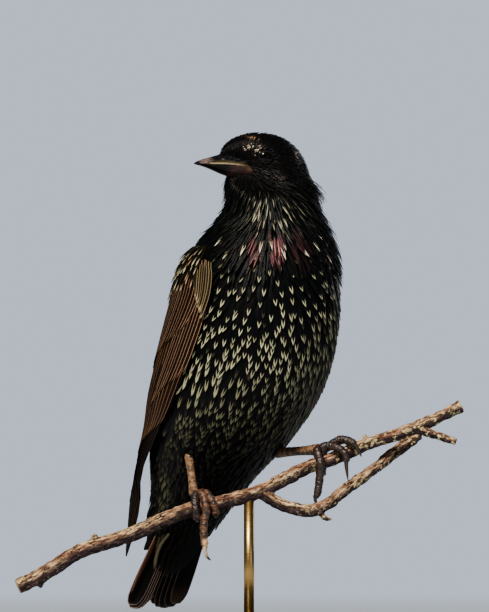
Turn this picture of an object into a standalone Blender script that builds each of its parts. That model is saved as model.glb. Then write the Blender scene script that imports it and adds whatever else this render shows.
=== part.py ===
# A life-size European starling in spotted winter plumage, perched on a short cut length of
# branch that a flat base and one rod hold up. Everything is in metres, +Z is up and the origin
# is the middle of the base's underside.
#
# The bird stands across the branch. Its own directions are forward (out of the breast), right
# and up, and the head is turned well over the right shoulder.

import math
import random

import bmesh
import bpy
from mathutils import Vector

MM = 0.001
GAP = 0.3 * MM

# The bird's place and heading over the base
BODY_AXIS = Vector((2.0, 0.0, 0.0)) * MM
BODY_YAW = math.radians(35)
HEAD_TURN = math.radians(85)
FORWARD = Vector((math.sin(BODY_YAW), -math.cos(BODY_YAW), 0.0))
RIGHT = Vector((-math.cos(BODY_YAW), -math.sin(BODY_YAW), 0.0))
UP = Vector((0.0, 0.0, 1.0))

# Level slices through the feathered body: height, middle forward, middle right, half length,
# half width, turn of the long axis towards the bird's right in degrees, and how pointed the
# front is (2 is an ellipse, less is sharper). All sizes are in millimetres.
SLICES = (
    (38.0, -54.0, 0.6, 3.4, 12.6, 0, 2.0),
    (43.0, -50.2, 0.4, 7.6, 14.8, 0, 2.0),
    (51.0, -43.8, 0.0, 13.2, 16.4, 0, 2.0),
    (58.7, -37.5, 0.0, 18.4, 17.3, 0, 2.0),
    (66.5, -32.2, 0.0, 22.0, 19.6, 0, 2.0),
    (82.0, -20.4, 0.0, 29.9, 27.2, 0, 2.0),
    (101.5, -7.5, 0.0, 35.0, 32.2, 0, 2.0),
    (125.0, 2.6, 0.0, 35.4, 32.2, 0, 2.0),
    (148.4, 8.4, 0.0, 32.0, 29.4, 0, 2.0),
    (160.0, 11.8, 0.0, 27.4, 25.2, 0, 2.0),
    (169.0, 14.2, -0.3, 22.0, 20.0, 18, 2.0),
    (176.0, 15.2, 0.1, 20.4, 17.2, 62, 2.0),
    (181.0, 14.4, 1.2, 19.8, 14.9, 85, 1.7),
    (185.4, 13.9, 2.1, 19.3, 13.6, 85, 1.36),
    (190.0, 13.7, 4.1, 19.8, 13.0, 85, 1.28),
    (194.0, 13.6, 5.2, 18.4, 12.1, 85, 1.5),
    (197.1, 13.4, 5.2, 15.1, 10.4, 85, 1.8),
    (199.2, 13.3, 5.1, 11.5, 8.4, 85, 2.0),
    (200.8, 13.2, 5.0, 7.0, 5.6, 85, 2.0),
    (201.7, 13.1, 4.9, 2.6, 2.2, 85, 2.0),
)
RING_POINTS = 24

# Where the body is parted into its nodes, by height
TAIL_TOP = 60.0 * MM
NECK_BOTTOM = 152.0 * MM
HEAD_BOTTOM = 178.0 * MM

# Bill, along the head's own forward direction from the middle of the skull
SKULL_FORWARD = 13.7 * MM
SKULL_RIGHT = 5.1 * MM
# Distance from the skull's middle, height of the mouth line, rise to the ridge above it, drop
# to the keel below it, half width. The first two are the corners of the mouth.
BILL_SECTIONS = (
    (8.0, 186.6, 0.9, 0.8, 8.4),
    (10.0, 187.1, 2.2, 1.8, 8.6),
    (12.5, 188.2, 3.6, 3.5, 7.7),
    (16.5, 189.6, 4.4, 4.9, 5.0),
    (20.0, 190.1, 3.8, 4.3, 3.6),
    (25.0, 190.3, 2.6, 2.8, 2.5),
    (29.5, 190.4, 1.4, 1.5, 1.6),
    (33.0, 190.2, 0.5, 0.5, 0.7),
)
MOUTH_GAP = 0.3 * MM

# Eyes
EYE_RADIUS = 3.5 * MM
EYE_HEIGHT = 192.0 * MM
EYE_AHEAD = 5.6 * MM
EYE_SUNK = 2.4 * MM
LID_THICK = 0.5 * MM

# Feathers
VANE_THICK = 0.55 * MM
WING_LIFT = 0.5 * MM
# Round the back within this angle the hackles stop above the wings, or are left out
HACKLE_BACK = math.radians(118)
HACKLE_LEAST = 6.0
# The way the nape faces, and its ruffled hackles' length and rise, in millimetres
NAPE = math.radians(165)
NAPE_LENGTH = 5.0
NAPE_STANDS = 3.3
WING_CORE = 1.6 * MM
WING_TILT = 0.17

# Feet and legs
TARSUS_RADIUS = 1.5 * MM
TOE_RADIUS = 1.25 * MM
FOOT_STUB = 4.8 * MM
CLAW_TIP = 0.14 * MM

# Perch and stand
BRANCH_RADIUS = 3.0 * MM
TWIG_RADIUS = 2.6 * MM
BASE_RADIUS = 54.0 * MM
BASE_HEIGHT = 9.0 * MM
ROD_RADIUS = 2.0 * MM
ROD_FOOT = 4.0 * MM
ROD_SINK = 2.6 * MM

# The branch's middle line, left to right in the picture: across, depth, height in millimetres
BRANCH_ROUTE = (
    (-88.0, -24.0, 25.5),
    (-80.0, -23.0, 29.2),
    (-63.0, -20.8, 39.5),
    (-45.0, -18.4, 45.2),
    (-22.5, -15.8, 54.8),
    (-9.0, -14.2, 57.9),
    (6.8, -12.0, 62.6),
    (22.0, -9.6, 70.3),
    (35.3, -8.2, 75.2),
    (47.6, -6.6, 80.4),
    (66.9, -3.6, 87.0),
    (84.5, -0.6, 95.3),
)
# The side twig that leaves the branch at the fork and climbs again behind it
TWIG_ROUTE = (
    (6.8, -12.0, 61.6),
    (14.5, -12.8, 57.0),
    (25.0, -14.0, 54.8),
    (32.5, -13.6, 57.4),
    (39.2, -11.0, 62.8),
    (51.9, -2.8, 71.8),
    (58.7, 3.0, 77.2),
    (68.0, 8.8, 84.0),
)


def bird(forward, right, height):
    """A point from the bird's own directions."""
    return BODY_AXIS + FORWARD * forward + RIGHT * right + UP * height


def smooth_table(rows, at, column):
    """Reads one column of a table of stations by its first column, along a Catmull-Rom curve."""
    last = len(rows) - 2
    i = 0
    while i < last and rows[i + 1][0] <= at:
        i += 1
    before, start = rows[max(i - 1, 0)], rows[i]
    end, after = rows[i + 1], rows[min(i + 2, len(rows) - 1)]
    span = end[0] - start[0]
    t = min(max((at - start[0]) / span, 0.0), 1.0)
    slope_in = span * (end[column] - before[column]) / (end[0] - before[0])
    slope_out = span * (after[column] - start[column]) / (after[0] - start[0])
    return (
        (2 * t**3 - 3 * t**2 + 1) * start[column]
        + (t**3 - 2 * t**2 + t) * slope_in
        + (3 * t**2 - 2 * t**3) * end[column]
        + (t**3 - t**2) * slope_out
    )


def slice_point(height, angle, lift=0.0):
    """The point on the feathered body at this height, angle from its right towards its front."""
    at = height / MM
    _, forward, right, half_length, half_width, turn, point = (
        smooth_table(SLICES, at, column) if column else at for column in range(7)
    )
    turned = math.radians(turn)
    along = math.sin(angle) * math.cos(turned) + math.cos(angle) * math.sin(turned)
    across = math.cos(angle) * math.cos(turned) - math.sin(angle) * math.sin(turned)
    power = point if along > 0 else 2.0
    reach = (
        (abs(along) / half_length) ** power + (abs(across) / half_width) ** power
    ) ** (-1 / power)
    out = reach * MM + lift
    return bird(
        forward * MM + out * math.sin(angle), right * MM + out * math.cos(angle), height
    )


def surface(height, angle, lift=0.0):
    """A point on the body lifted along the surface's own normal, and that normal."""
    step = 0.4 * MM
    turn = 0.02
    here = slice_point(height, angle)
    rise = slice_point(height + step, angle) - slice_point(height - step, angle)
    round_it = slice_point(height, angle + turn) - slice_point(height, angle - turn)
    normal = rise.cross(round_it).normalized()
    if normal.dot(here - slice_point(height, angle, -MM)) < 0:
        normal = -normal
    return here + normal * lift, normal


def material(name, colour, roughness, metallic=0.0):
    made = bpy.data.materials.new(name)
    made.use_nodes = True
    shader = made.node_tree.nodes["Principled BSDF"]
    shader.inputs["Base Color"].default_value = (*colour, 1.0)
    shader.inputs["Roughness"].default_value = roughness
    shader.inputs["Metallic"].default_value = metallic
    return made


def mesh_object(name, points, faces, finish, collection=None):
    """A mesh object from points and faces, with its faces turned outwards."""
    mesh = bpy.data.meshes.new(name)
    mesh.from_pydata([tuple(p) for p in points], [], faces)
    shape = bmesh.new()
    shape.from_mesh(mesh)
    bmesh.ops.recalc_face_normals(shape, faces=shape.faces)
    shape.to_mesh(mesh)
    shape.free()
    made = bpy.data.objects.new(name, mesh)
    made.data.materials.append(finish)
    (collection or BIRD).objects.link(made)
    return made


def loft(name, rings, finish, collection=None):
    """A closed mesh through rings of equal counts, with flat ends."""
    count = len(rings[0])
    points = [p for ring in rings for p in ring]
    faces = []
    for i in range(len(rings) - 1):
        for j in range(count):
            k = (j + 1) % count
            low, high = i * count, (i + 1) * count
            faces.append((low + j, low + k, high + k))
            faces.append((low + j, high + k, high + j))
    faces.append(tuple(reversed(range(count))))
    faces.append(tuple(range(len(points) - count, len(points))))
    return mesh_object(name, points, faces, finish, collection)


def body_loft(name, bottom, top, finish, rings, lift=0.0, collection=None):
    """The part of the feathered body between two heights."""
    heights = [bottom + (top - bottom) * i / (rings - 1) for i in range(rings)]
    angles = [math.tau * j / RING_POINTS for j in range(RING_POINTS)]
    return loft(
        name,
        [[slice_point(h, a, lift) for a in angles] for h in heights],
        finish,
        collection,
    )


def vane(name, path, normals, widths, finish, tilt=0.0, thick=VANE_THICK):
    """A feather: a flat strip along path, as thick all over, whose tip is drawn to a blunt point.
    A tilt raises its right edge. Both faces are split into triangles alike."""
    points, faces = [], []
    last = len(path) - 1
    for i, (at, normal, width) in enumerate(zip(path, normals, widths)):
        along = (path[min(i + 1, last)] - path[max(i - 1, 0)]).normalized()
        side = (along.cross(normal).normalized() + normal * tilt).normalized()
        up = side.cross(along).normalized() * (thick / 2)
        for edge in (-width / 2, width / 2):
            points.append(at + side * edge + up)
            points.append(at + side * edge - up)
    for i in range(last):
        a, b = 4 * i, 4 * (i + 1)
        faces += [(a, a + 2, b + 2), (a, b + 2, b)]
        faces += [(a + 3, a + 1, b + 3), (a + 1, b + 1, b + 3)]
        faces += [(a + 1, a, b), (a + 1, b, b + 1)]
        faces += [(a + 2, a + 3, b + 3), (a + 2, b + 3, b + 2)]
    end = 4 * last
    faces += [(0, 1, 3, 2), (end, end + 2, end + 3, end + 1)]
    return mesh_object(name, points, faces, finish)


def unite(name, pieces, finish):
    """Joins closed pieces to one closed body and keeps its largest surface."""
    group = bpy.data.collections.new(name + "_pieces")
    bpy.context.scene.collection.children.link(group)
    first, rest = pieces[0], pieces[1:]
    for piece in rest:
        for owner in list(piece.users_collection):
            owner.objects.unlink(piece)
        group.objects.link(piece)
    join = first.modifiers.new("join", "BOOLEAN")
    join.operation = "UNION"
    join.operand_type = "COLLECTION"
    join.solver = "MANIFOLD"
    join.collection = group
    whole = applied(first, name, finish)
    for piece in pieces:
        bpy.data.objects.remove(piece)
    bpy.data.collections.remove(group)
    return whole


def applied(source, name, finish):
    """A new object with the source's evaluated mesh, of which only the largest part is kept."""
    bpy.context.view_layer.update()
    graph = bpy.context.evaluated_depsgraph_get()
    mesh = bpy.data.meshes.new_from_object(source.evaluated_get(graph))
    mesh.transform(source.matrix_world)
    keep_largest(mesh)
    mesh.materials.clear()
    mesh.materials.append(finish)
    source.name = name + "_source"
    made = bpy.data.objects.new(name, mesh)
    BIRD.objects.link(made)
    return made


def keep_largest(mesh):
    shape = bmesh.new()
    shape.from_mesh(mesh)
    left = set(shape.faces)
    islands = []
    while left:
        start = left.pop()
        island, edge = {start}, [start]
        while edge:
            for side in edge.pop().edges:
                for face in side.link_faces:
                    if face in left:
                        left.discard(face)
                        island.add(face)
                        edge.append(face)
        islands.append(island)
    islands.sort(key=lambda part: sum(f.calc_area() for f in part))
    for island in islands[:-1]:
        bmesh.ops.delete(shape, geom=list(island), context="FACES")
    loose = [v for v in shape.verts if not v.link_faces]
    bmesh.ops.delete(shape, geom=loose, context="VERTS")
    shape.to_mesh(mesh)
    shape.free()


def cut(target, cutters, finish):
    """Takes the cutters out of the target and keeps the largest piece."""
    for cutter in cutters:
        take = target.modifiers.new("cut", "BOOLEAN")
        take.operation = "DIFFERENCE"
        take.solver = "MANIFOLD"
        take.object = cutter
    name = target.name
    made = applied(target, name, finish)
    bpy.data.objects.remove(target)
    for cutter in cutters:
        bpy.data.objects.remove(cutter)
    made.name = name
    return made


def spline(route, steps):
    """Points along a Catmull-Rom curve through the route, steps to each stretch."""
    points = []
    for i in range(len(route) - 1):
        a, b = route[max(i - 1, 0)], route[i]
        c, d = route[i + 1], route[min(i + 2, len(route) - 1)]
        for k in range(steps):
            t = k / steps
            points.append(
                0.5
                * (
                    2 * b
                    + (c - a) * t
                    + (2 * a - 5 * b + 4 * c - d) * t * t
                    + (3 * b - a - 3 * c + d) * t**3
                )
            )
    points.append(route[-1].copy())
    return points


def tube(name, path, radii, finish, sides, collection=None, wobble=None):
    """A round tube along a path with a radius for each point. wobble(i, j) scales single points."""
    rings = []
    last = len(path) - 1
    reference = UP if abs((path[-1] - path[0]).normalized().z) < 0.9 else Vector((0, -1, 0))
    for i, (at, radius) in enumerate(zip(path, radii)):
        along = (path[min(i + 1, last)] - path[max(i - 1, 0)]).normalized()
        side = along.cross(reference).normalized()
        up = side.cross(along).normalized()
        reference = up
        ring = []
        for j in range(sides):
            turn = math.tau * j / sides
            size = radius * (wobble(i, j) if wobble else 1.0)
            ring.append(at + (side * math.cos(turn) + up * math.sin(turn)) * size)
        rings.append(ring)
    return loft(name, rings, finish, collection)


def head_directions():
    """The skull's forward, left and middle, level."""
    ahead = FORWARD * math.cos(HEAD_TURN) + RIGHT * math.sin(HEAD_TURN)
    left = UP.cross(ahead)
    return ahead, left, bird(SKULL_FORWARD, SKULL_RIGHT, 0.0)


def eye_place(side):
    """The eyeball's middle and the way it looks; side is 1 for the left eye and -1 for the right."""
    ahead, left, middle = head_directions()
    best = None
    for step in range(240):
        angle = math.tau * step / 240
        at, normal = surface(EYE_HEIGHT, angle)
        offset = at - middle
        if offset.dot(left) * side > 0:
            miss = abs(offset.dot(ahead) - EYE_AHEAD)
            if best is None or miss < best[0]:
                best = (miss, at, normal)
    _, at, normal = best
    return at - normal * EYE_SUNK, normal


def make_eyes():
    for name, side in (("eye_left", 1), ("eye_right", -1)):
        middle, _ = eye_place(side)
        bpy.ops.mesh.primitive_uv_sphere_add(
            segments=14, ring_count=8, radius=EYE_RADIUS, location=middle
        )
        eye = bpy.context.object
        eye.name = name
        adopt(eye, EYE_FINISH)


def adopt(obj, finish, collection=None):
    """Moves a new primitive to its collection and gives it its material."""
    for owner in list(obj.users_collection):
        owner.objects.unlink(obj)
    (collection or BIRD).objects.link(obj)
    obj.data.materials.clear()
    obj.data.materials.append(finish)


def make_head():
    """The skull's feathered shape with an open socket and a ring of lid for each eye."""
    heights = [HEAD_BOTTOM + GAP]
    heights += [h * MM for h in (181.0, 183.5, 186.0, 188.5, 191.0, 193.2, 195.2, 197.1)]
    heights += [h * MM for h in (198.7, 200.0, 201.0, 201.6)]
    angles = [math.tau * j / RING_POINTS for j in range(RING_POINTS)]
    skull = loft("head", [[slice_point(h, a) for a in angles] for h in heights], PLUMAGE)
    pieces = [skull]
    sockets = []
    for side in (1, -1):
        middle, looks = eye_place(side)
        turn = looks.to_track_quat("Z", "Y")
        rim = math.sqrt(EYE_RADIUS**2 - (EYE_SUNK - LID_THICK / 2) ** 2) + LID_THICK * 0.6
        bpy.ops.mesh.primitive_torus_add(
            major_radius=rim,
            minor_radius=LID_THICK,
            major_segments=14,
            minor_segments=5,
            location=middle + looks * (EYE_SUNK - LID_THICK * 0.4),
            rotation=turn.to_euler(),
        )
        lid = bpy.context.object
        adopt(lid, PLUMAGE)
        pieces.append(lid)
        bpy.ops.mesh.primitive_uv_sphere_add(
            segments=14, ring_count=8, radius=EYE_RADIUS + GAP, location=middle
        )
        socket = bpy.context.object
        adopt(socket, PLUMAGE)
        sockets.append(socket)
    whole = unite("head", pieces, PLUMAGE)
    return cut(whole, sockets, PLUMAGE)


def bill_section(row, upper):
    """One half of the bill across its length: the flat at the mouth line, and the arch over it."""
    reach, mouth, rise, drop, half_width = (value * MM for value in row)
    ahead, left, middle = head_directions()
    high = rise if upper else -drop
    start = MOUTH_GAP / 2 if upper else -MOUTH_GAP / 2
    outline = ((1.0, 0.0), (0.93, 0.35), (0.66, 0.72), (0.25, 0.97))
    outline += tuple((-x, y) for x, y in reversed(outline))
    return [
        middle + ahead * reach + left * (x * half_width) + UP * (mouth + start + y * high)
        for x, y in outline
    ]


def make_bill():
    for name, upper in (("bill_upper", True), ("bill_lower", False)):
        rings = [bill_section(row, upper) for row in BILL_SECTIONS]
        half = loft(name, rings, HORN)
        cutters = [
            body_loft(
                name + "_head",
                HEAD_BOTTOM,
                201.6 * MM,
                PLUMAGE,
                14,
                GAP,
                CUTTERS,
            )
        ]
        if upper:
            ahead, left, middle = head_directions()
            for side in (1, -1):
                bpy.ops.mesh.primitive_uv_sphere_add(
                    segments=10,
                    ring_count=6,
                    radius=1.0,
                    location=middle + ahead * 21.0 * MM + left * side * 3.3 * MM + UP * 192.2 * MM,
                    rotation=ahead.to_track_quat("X", "Z").to_euler(),
                )
                nostril = bpy.context.object
                nostril.scale = (1.5 * MM, 0.9 * MM, 0.55 * MM)
                adopt(nostril, HORN, CUTTERS)
                cutters.append(nostril)
        cut(half, cutters, HORN)


def hackle(root, angle, long, stands):
    """One long pointed feather of the neck. Its tip stands this far off the surface."""
    path, normals, widths = [], [], []
    for part, width in ((0.0, 3.6), (0.5, 3.3), (1.0, 0.6)):
        lift = (-0.9 + (stands + 0.9) * part**0.5) * MM
        at, normal = surface((root - long * part) * MM, angle, lift)
        path.append(at)
        normals.append(normal)
        widths.append(width * MM)
    return vane("hackle", path, normals, widths, PLUMAGE)


def make_neck():
    """The neck and upper breast, with the long pointed hackles of throat and nape."""
    neck = body_loft("neck", NECK_BOTTOM + GAP, HEAD_BOTTOM, PLUMAGE, 8)
    pieces = [neck]
    draw = random.Random(5)
    rows = ((176.0, 12, 11.0), (171.0, 12, 12.0), (165.5, 12, 13.0), (160.0, 12, 13.5))
    for number, (root, count, length) in enumerate(rows):
        for i in range(count):
            angle = math.tau * (i + 0.5 * (number % 2)) / count
            long = length * (1 + draw.uniform(-0.12, 0.12))
            from_back = abs(math.remainder(angle + math.pi / 2, math.tau))
            if from_back < HACKLE_BACK:
                long = min(long, root - WING_TOP - 3.0)
            if long < HACKLE_LEAST:
                continue
            stands = 1.35 + 0.45 * draw.random()
            pieces.append(hackle(root, angle, long, stands))
    for turn in (-34, -15, 3, 21):
        long = NAPE_LENGTH + draw.uniform(-0.6, 0.6)
        pieces.append(hackle(177.2, NAPE + math.radians(turn), long, NAPE_STANDS))
    return unite("neck", pieces, PLUMAGE)


def make_torso():
    return body_loft("torso", TAIL_TOP + GAP, NECK_BOTTOM, PLUMAGE, 17)


# The tail's root and direction in the plane of forward and up, and its lean to the right
TAIL_ROOT = Vector((-34.5, 64.6)) * MM
TAIL_WAY = Vector((-0.550, -0.835))
TAIL_SWING = 0.02
TAIL_LENGTH = 59.5 * MM


def tail_point(along, across, below):
    """A point on the tail from its root: along its length, towards the bird's right, and below."""
    at = TAIL_ROOT + TAIL_WAY * along + Vector((-TAIL_WAY.y, TAIL_WAY.x)) * below
    return bird(at.x, across + TAIL_SWING * along, at.y)


def tail_vane(root, tip, across, fan, below, width, end, finish):
    """One tail feather or covert, from root to tip along the tail."""
    under = (tail_point(0, 0, MM) - tail_point(0, 0, 0)).normalized()
    path, normals, widths = [], [], []
    for part, wide in ((0.0, 0.7), (0.35, 0.9), (0.75, 1.0), (0.93, 0.86), (1.0, end)):
        along = root + (tip - root) * part
        spread = across * (1 - fan + fan * part)
        path.append(tail_point(along, spread, below[0] * (1 - part) + below[1] * part))
        normals.append(under)
        widths.append(width * wide)
    return vane("rectrix", path, normals, widths, finish)


def make_tail():
    """Six pairs of tail feathers, the outer ones lowest, with coverts above and below."""
    pieces = [body_loft("tail", 38.4 * MM, TAIL_TOP, PLUMAGE, 7)]
    for side in (1, -1):
        for k in range(6):
            across = side * (1.5 + 1.8 * k) * MM
            level = (-1.9 + 0.78 * k - 0.15 * (side < 0)) * MM
            tip = TAIL_LENGTH - (0.5 * (2.5 - k) ** 2) * MM
            depth = (level * 0.6, level)
            pieces.append(tail_vane(10 * MM, tip, across, 0.25, depth, 8.4 * MM, 0.45, PLUMAGE))
        for k in range(3):
            across = side * (2.2 + 3.9 * k) * MM
            tip = (37.0 - 4.0 * k) * MM
            depth = ((9.0 - 2.2 * k) * MM, (3.6 + 0.3 * k) * MM)
            pieces.append(tail_vane(6 * MM, tip, across, 0.2, depth, 7.5 * MM, 0.35, PLUMAGE))
        for k in range(2):
            across = side * (2.5 + 5.0 * k) * MM
            depth = (-5.5 * MM, -3.4 * MM)
            tip = (28.0 - 4.0 * k) * MM
            pieces.append(tail_vane(8 * MM, tip, across, 0.2, depth, 7.5 * MM, 0.35, PLUMAGE))
    whole = unite("tail", pieces, PLUMAGE)
    room = body_loft("room", TAIL_TOP + GAP / 6, NECK_BOTTOM, PLUMAGE, 17, GAP, CUTTERS)
    return cut(whole, [room], PLUMAGE)


# Folded right wing, by height: where its lower edge, middle and upper edge lie. Down to the
# rump they are angles round the body from its right towards its front, in degrees.
WING_ON_BODY = (
    (86.0, 9.0, -82.0),
    (100.0, 15.0, -83.0),
    (118.0, 17.0, -81.0),
    (137.0, 18.0, -76.0),
    (150.0, 10.0, -70.0),
    (157.0, 0.0, -64.0),
)
WING_TOP = 157.0
# Below that the wing's point stands free: height, then forward and right of the lower edge,
# the middle and the upper edge, in millimetres.
WING_FREE = (
    (34.5, -58.2, 18.2, -58.6, 18.3, -59.0, 18.2),
    (43.0, -52.0, 18.9, -54.5, 19.8, -57.0, 18.8),
    (58.7, -43.5, 20.6, -48.0, 21.8, -52.5, 20.2),
    (70.0, -33.5, 24.6, -43.8, 22.8, -51.8, 13.5),
)


def wing_rows():
    """Both tables as one, with points at every station: lower edge, middle, upper edge."""
    rows = [list(row) for row in WING_FREE]
    for height, low, high in WING_ON_BODY:
        row = [height]
        for angle in (low, (low + high) / 2, high):
            at, _ = surface(height * MM, math.radians(angle), WING_LIFT)
            offset = at - BODY_AXIS
            row += [offset.dot(FORWARD) / MM, offset.dot(RIGHT) / MM]
        rows.append(row)
    return rows


def wing_point(rows, height, across, lift):
    """A point over the folded wing: across is 0 at its lower edge and 1 at its upper edge."""

    def flat(at_height, at):
        values = [smooth_table(rows, at_height / MM, c) * MM for c in range(1, 7)]
        low, mid, high = (Vector(values[i : i + 2]) for i in (0, 2, 4))
        u = at
        put = low * (1 - u) * (1 - 2 * u) + mid * 4 * u * (1 - u) + high * u * (2 * u - 1)
        return bird(put.x, put.y, at_height)

    step = 0.5 * MM
    here = flat(height, across)
    rise = flat(height + step, across) - flat(height - step, across)
    over = flat(height, across + 0.03) - flat(height, across - 0.03)
    normal = rise.cross(over).normalized()
    if normal.dot(RIGHT - 0.3 * FORWARD) < 0:
        normal = -normal
    return here + normal * lift, normal


def wing_vane(rows, root, tip, across, lift, width, end):
    """One wing feather; across and lift are pairs, at its root and its tip."""
    path, normals, widths = [], [], []
    for part, wide in ((0.0, 0.7), (0.4, 1.0), (0.82, 0.92), (1.0, end)):
        at, normal = wing_point(
            rows,
            (root + (tip - root) * part) * MM,
            across[0] + (across[1] - across[0]) * part,
            (lift[0] + (lift[1] - lift[0]) * part) * MM,
        )
        path.append(at)
        normals.append(normal)
        widths.append(width * wide * MM)
    return vane("wing_feather", path, normals, widths, PLUMAGE, -WING_TILT)


def between(pair, part):
    return pair[0] + (pair[1] - pair[0]) * part


# Tiers of wing feathers, from the longest primaries to the shoulder: how many, the height of
# the first and last root, of the first and last tip, how far across the wing the first and last
# root lie and then the tips, lift at root and tip, width, and width of the tip over that.
WING_TIERS = (
    ("primaries", 7, (108, 104), (36, 62), (0.14, 0.40), (0.46, 0.78), (0.6, 0.6), 6.2, 0.3),
    ("secondaries", 5, (116, 112), (82, 74), (0.22, 0.58), (0.22, 0.62), (0.9, 1.5), 6.8, 0.5),
    ("tertials", 3, (122, 118), (84, 76), (0.70, 0.90), (0.72, 0.88), (1.0, 2.2), 8.0, 0.45),
    ("primary_coverts", 3, (126, 124), (107, 103), (0.06, 0.20), (0.05, 0.17), (0.9, 2.2), 5.0, 0.4),
    ("bastard_wing", 2, (138, 135), (118, 121), (0.07, 0.15), (0.05, 0.12), (0.9, 2.9), 4.6, 0.4),
    ("greater_coverts", 6, (132, 130), (112, 108), (0.24, 0.74), (0.24, 0.72), (0.9, 2.9), 7.0, 0.5),
    ("median_coverts", 5, (144, 142), (127, 124), (0.14, 0.74), (0.16, 0.74), (0.8, 3.2), 8.0, 0.5),
    ("scapulars", 3, (150, 145), (122, 104), (0.84, 0.92), (0.84, 0.90), (0.8, 3.0), 8.5, 0.45),
)


def wing_feathers(rows):
    made = []
    for _, count, roots, tips, start, finish, lift, width, end in WING_TIERS:
        for i in range(count):
            part = i / (count - 1)
            across = (between(start, part), between(finish, part))
            made.append(
                wing_vane(rows, between(roots, part), between(tips, part), across, lift, width, end)
            )
    return made


def wing_core(rows):
    """The arm and hand under the coverts: a shell over the side of the body."""
    heights = (WING_TOP - 0.5, 151.0, 142.0, 132.0, 121.0, 110.0, 99.0, 88.0)
    steps = 8
    sides = []
    for lift in (0.0, WING_CORE):
        grid = []
        for height in heights:
            edge = 0.04 + 0.22 * max(0.0, (105.0 - height) / 17.0) ** 2
            thin = 1.0 if 90 < height < 155 else 0.5
            grid.append(
                [
                    wing_point(
                        rows, height * MM, edge + (0.98 - edge) * k / (steps - 1), lift * thin
                    )[0]
                    for k in range(steps)
                ]
            )
        sides.append(grid)
    inner, outer = sides
    rings = [list(inner[i]) + list(reversed(outer[i])) for i in range(len(heights))]
    return loft("wing_core", rings, PLUMAGE)


def make_wings():
    """The right wing, and its mirror image across the bird's middle for the left."""
    rows = wing_rows()
    whole = unite("wing_right", [wing_core(rows)] + wing_feathers(rows), PLUMAGE)
    room = body_loft("room", 38.0 * MM, 176.0 * MM, PLUMAGE, 26, GAP, CUTTERS)
    right = cut(whole, [room], PLUMAGE)
    mesh = right.data.copy()
    for point in mesh.vertices:
        offset = point.co - BODY_AXIS
        point.co -= RIGHT * (2 * offset.dot(RIGHT))
    mesh.flip_normals()
    left = bpy.data.objects.new("wing_left", mesh)
    BIRD.objects.link(left)


def branch_path():
    return spline([Vector(p) * MM for p in BRANCH_ROUTE], 3)


def twig_path():
    return spline([Vector(p) * MM for p in TWIG_ROUTE], 3)


def bark(seed):
    """Uneven bark: a slow swelling along the branch and a ripple round it."""

    def swell(i, j):
        return 1.0 + 0.05 * math.sin(0.9 * i + seed) + 0.05 * math.sin(2.3 * j + 1.7 * i + seed)

    return swell


def make_perch():
    path = branch_path()
    count = len(path)
    radii = [BRANCH_RADIUS * (1.05 - 0.22 * i / count) for i in range(count)]
    branch = tube("perch_branch", path, radii, BARK, 10, None, bark(0.4))
    knots = []
    for at, way, length, thick in (
        (7, Vector((-0.25, -0.1, 1.0)), 4.6, 1.7),
        (3, Vector((0.3, -0.2, -1.0)), 4.8, 1.5),
        (27, Vector((-0.2, 0.1, 1.0)), 4.2, 1.2),
    ):
        aim = way.normalized()
        ends = [path[at], path[at] + aim * length * 0.6 * MM, path[at] + aim * length * MM]
        knots.append(tube("knot", ends, [thick * 1.4 * MM, thick * MM, 0.5 * thick * MM], BARK, 7))
    spur = [Vector(p) * MM for p in ((66.0, -3.8, 86.6), (72.5, -4.5, 84.6), (82.5, -5.5, 81.4))]
    knots.append(tube("spur", spline(spur, 3), [1.9 * MM - 0.09 * k * MM for k in range(7)], BARK, 8))
    branch = unite("perch_branch", [branch] + knots, BARK)
    rod_top = rod_place() + UP * (rod_height() - ROD_SINK)
    bpy.ops.mesh.primitive_cylinder_add(
        vertices=16,
        radius=ROD_RADIUS + GAP,
        depth=12 * MM,
        location=rod_top + UP * (ROD_SINK + GAP - 6 * MM),
    )
    hole = bpy.context.object
    adopt(hole, BARK, CUTTERS)
    branch = cut(branch, [hole], BARK)
    twig = twig_path()
    radii = [TWIG_RADIUS * (1.0 - 0.16 * i / len(twig)) for i in range(len(twig))]
    side = tube("perch_twig", twig, radii, BARK, 9, None, bark(2.1))
    bud = [Vector(p) * MM for p in ((29.0, -14.0, 54.8), (31.2, -14.8, 51.9), (34.4, -15.2, 51.4))]
    side = unite("perch_twig", [side, tube("bud", bud, [1.4 * MM, 1.0 * MM, 0.4 * MM], BARK, 7)], BARK)
    path = branch_path()
    radii = [BRANCH_RADIUS * (1.05 - 0.22 * i / len(path)) + GAP for i in range(len(path))]
    clear = tube("branch_room", path, radii, BARK, 10, CUTTERS, bark(0.4))
    return cut(side, [clear], BARK)


def rod_place():
    """Where the rod stands, on the branch's middle line just left of the fork."""
    at = Vector(BRANCH_ROUTE[6]) * MM
    near = Vector(BRANCH_ROUTE[5]) * MM
    spot = at.lerp(near, 0.32)
    return Vector((spot.x, spot.y, 0.0))


def rod_height():
    at = Vector(BRANCH_ROUTE[6]) * MM
    near = Vector(BRANCH_ROUTE[5]) * MM
    return at.lerp(near, 0.32).z - 0.6 * MM


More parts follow.
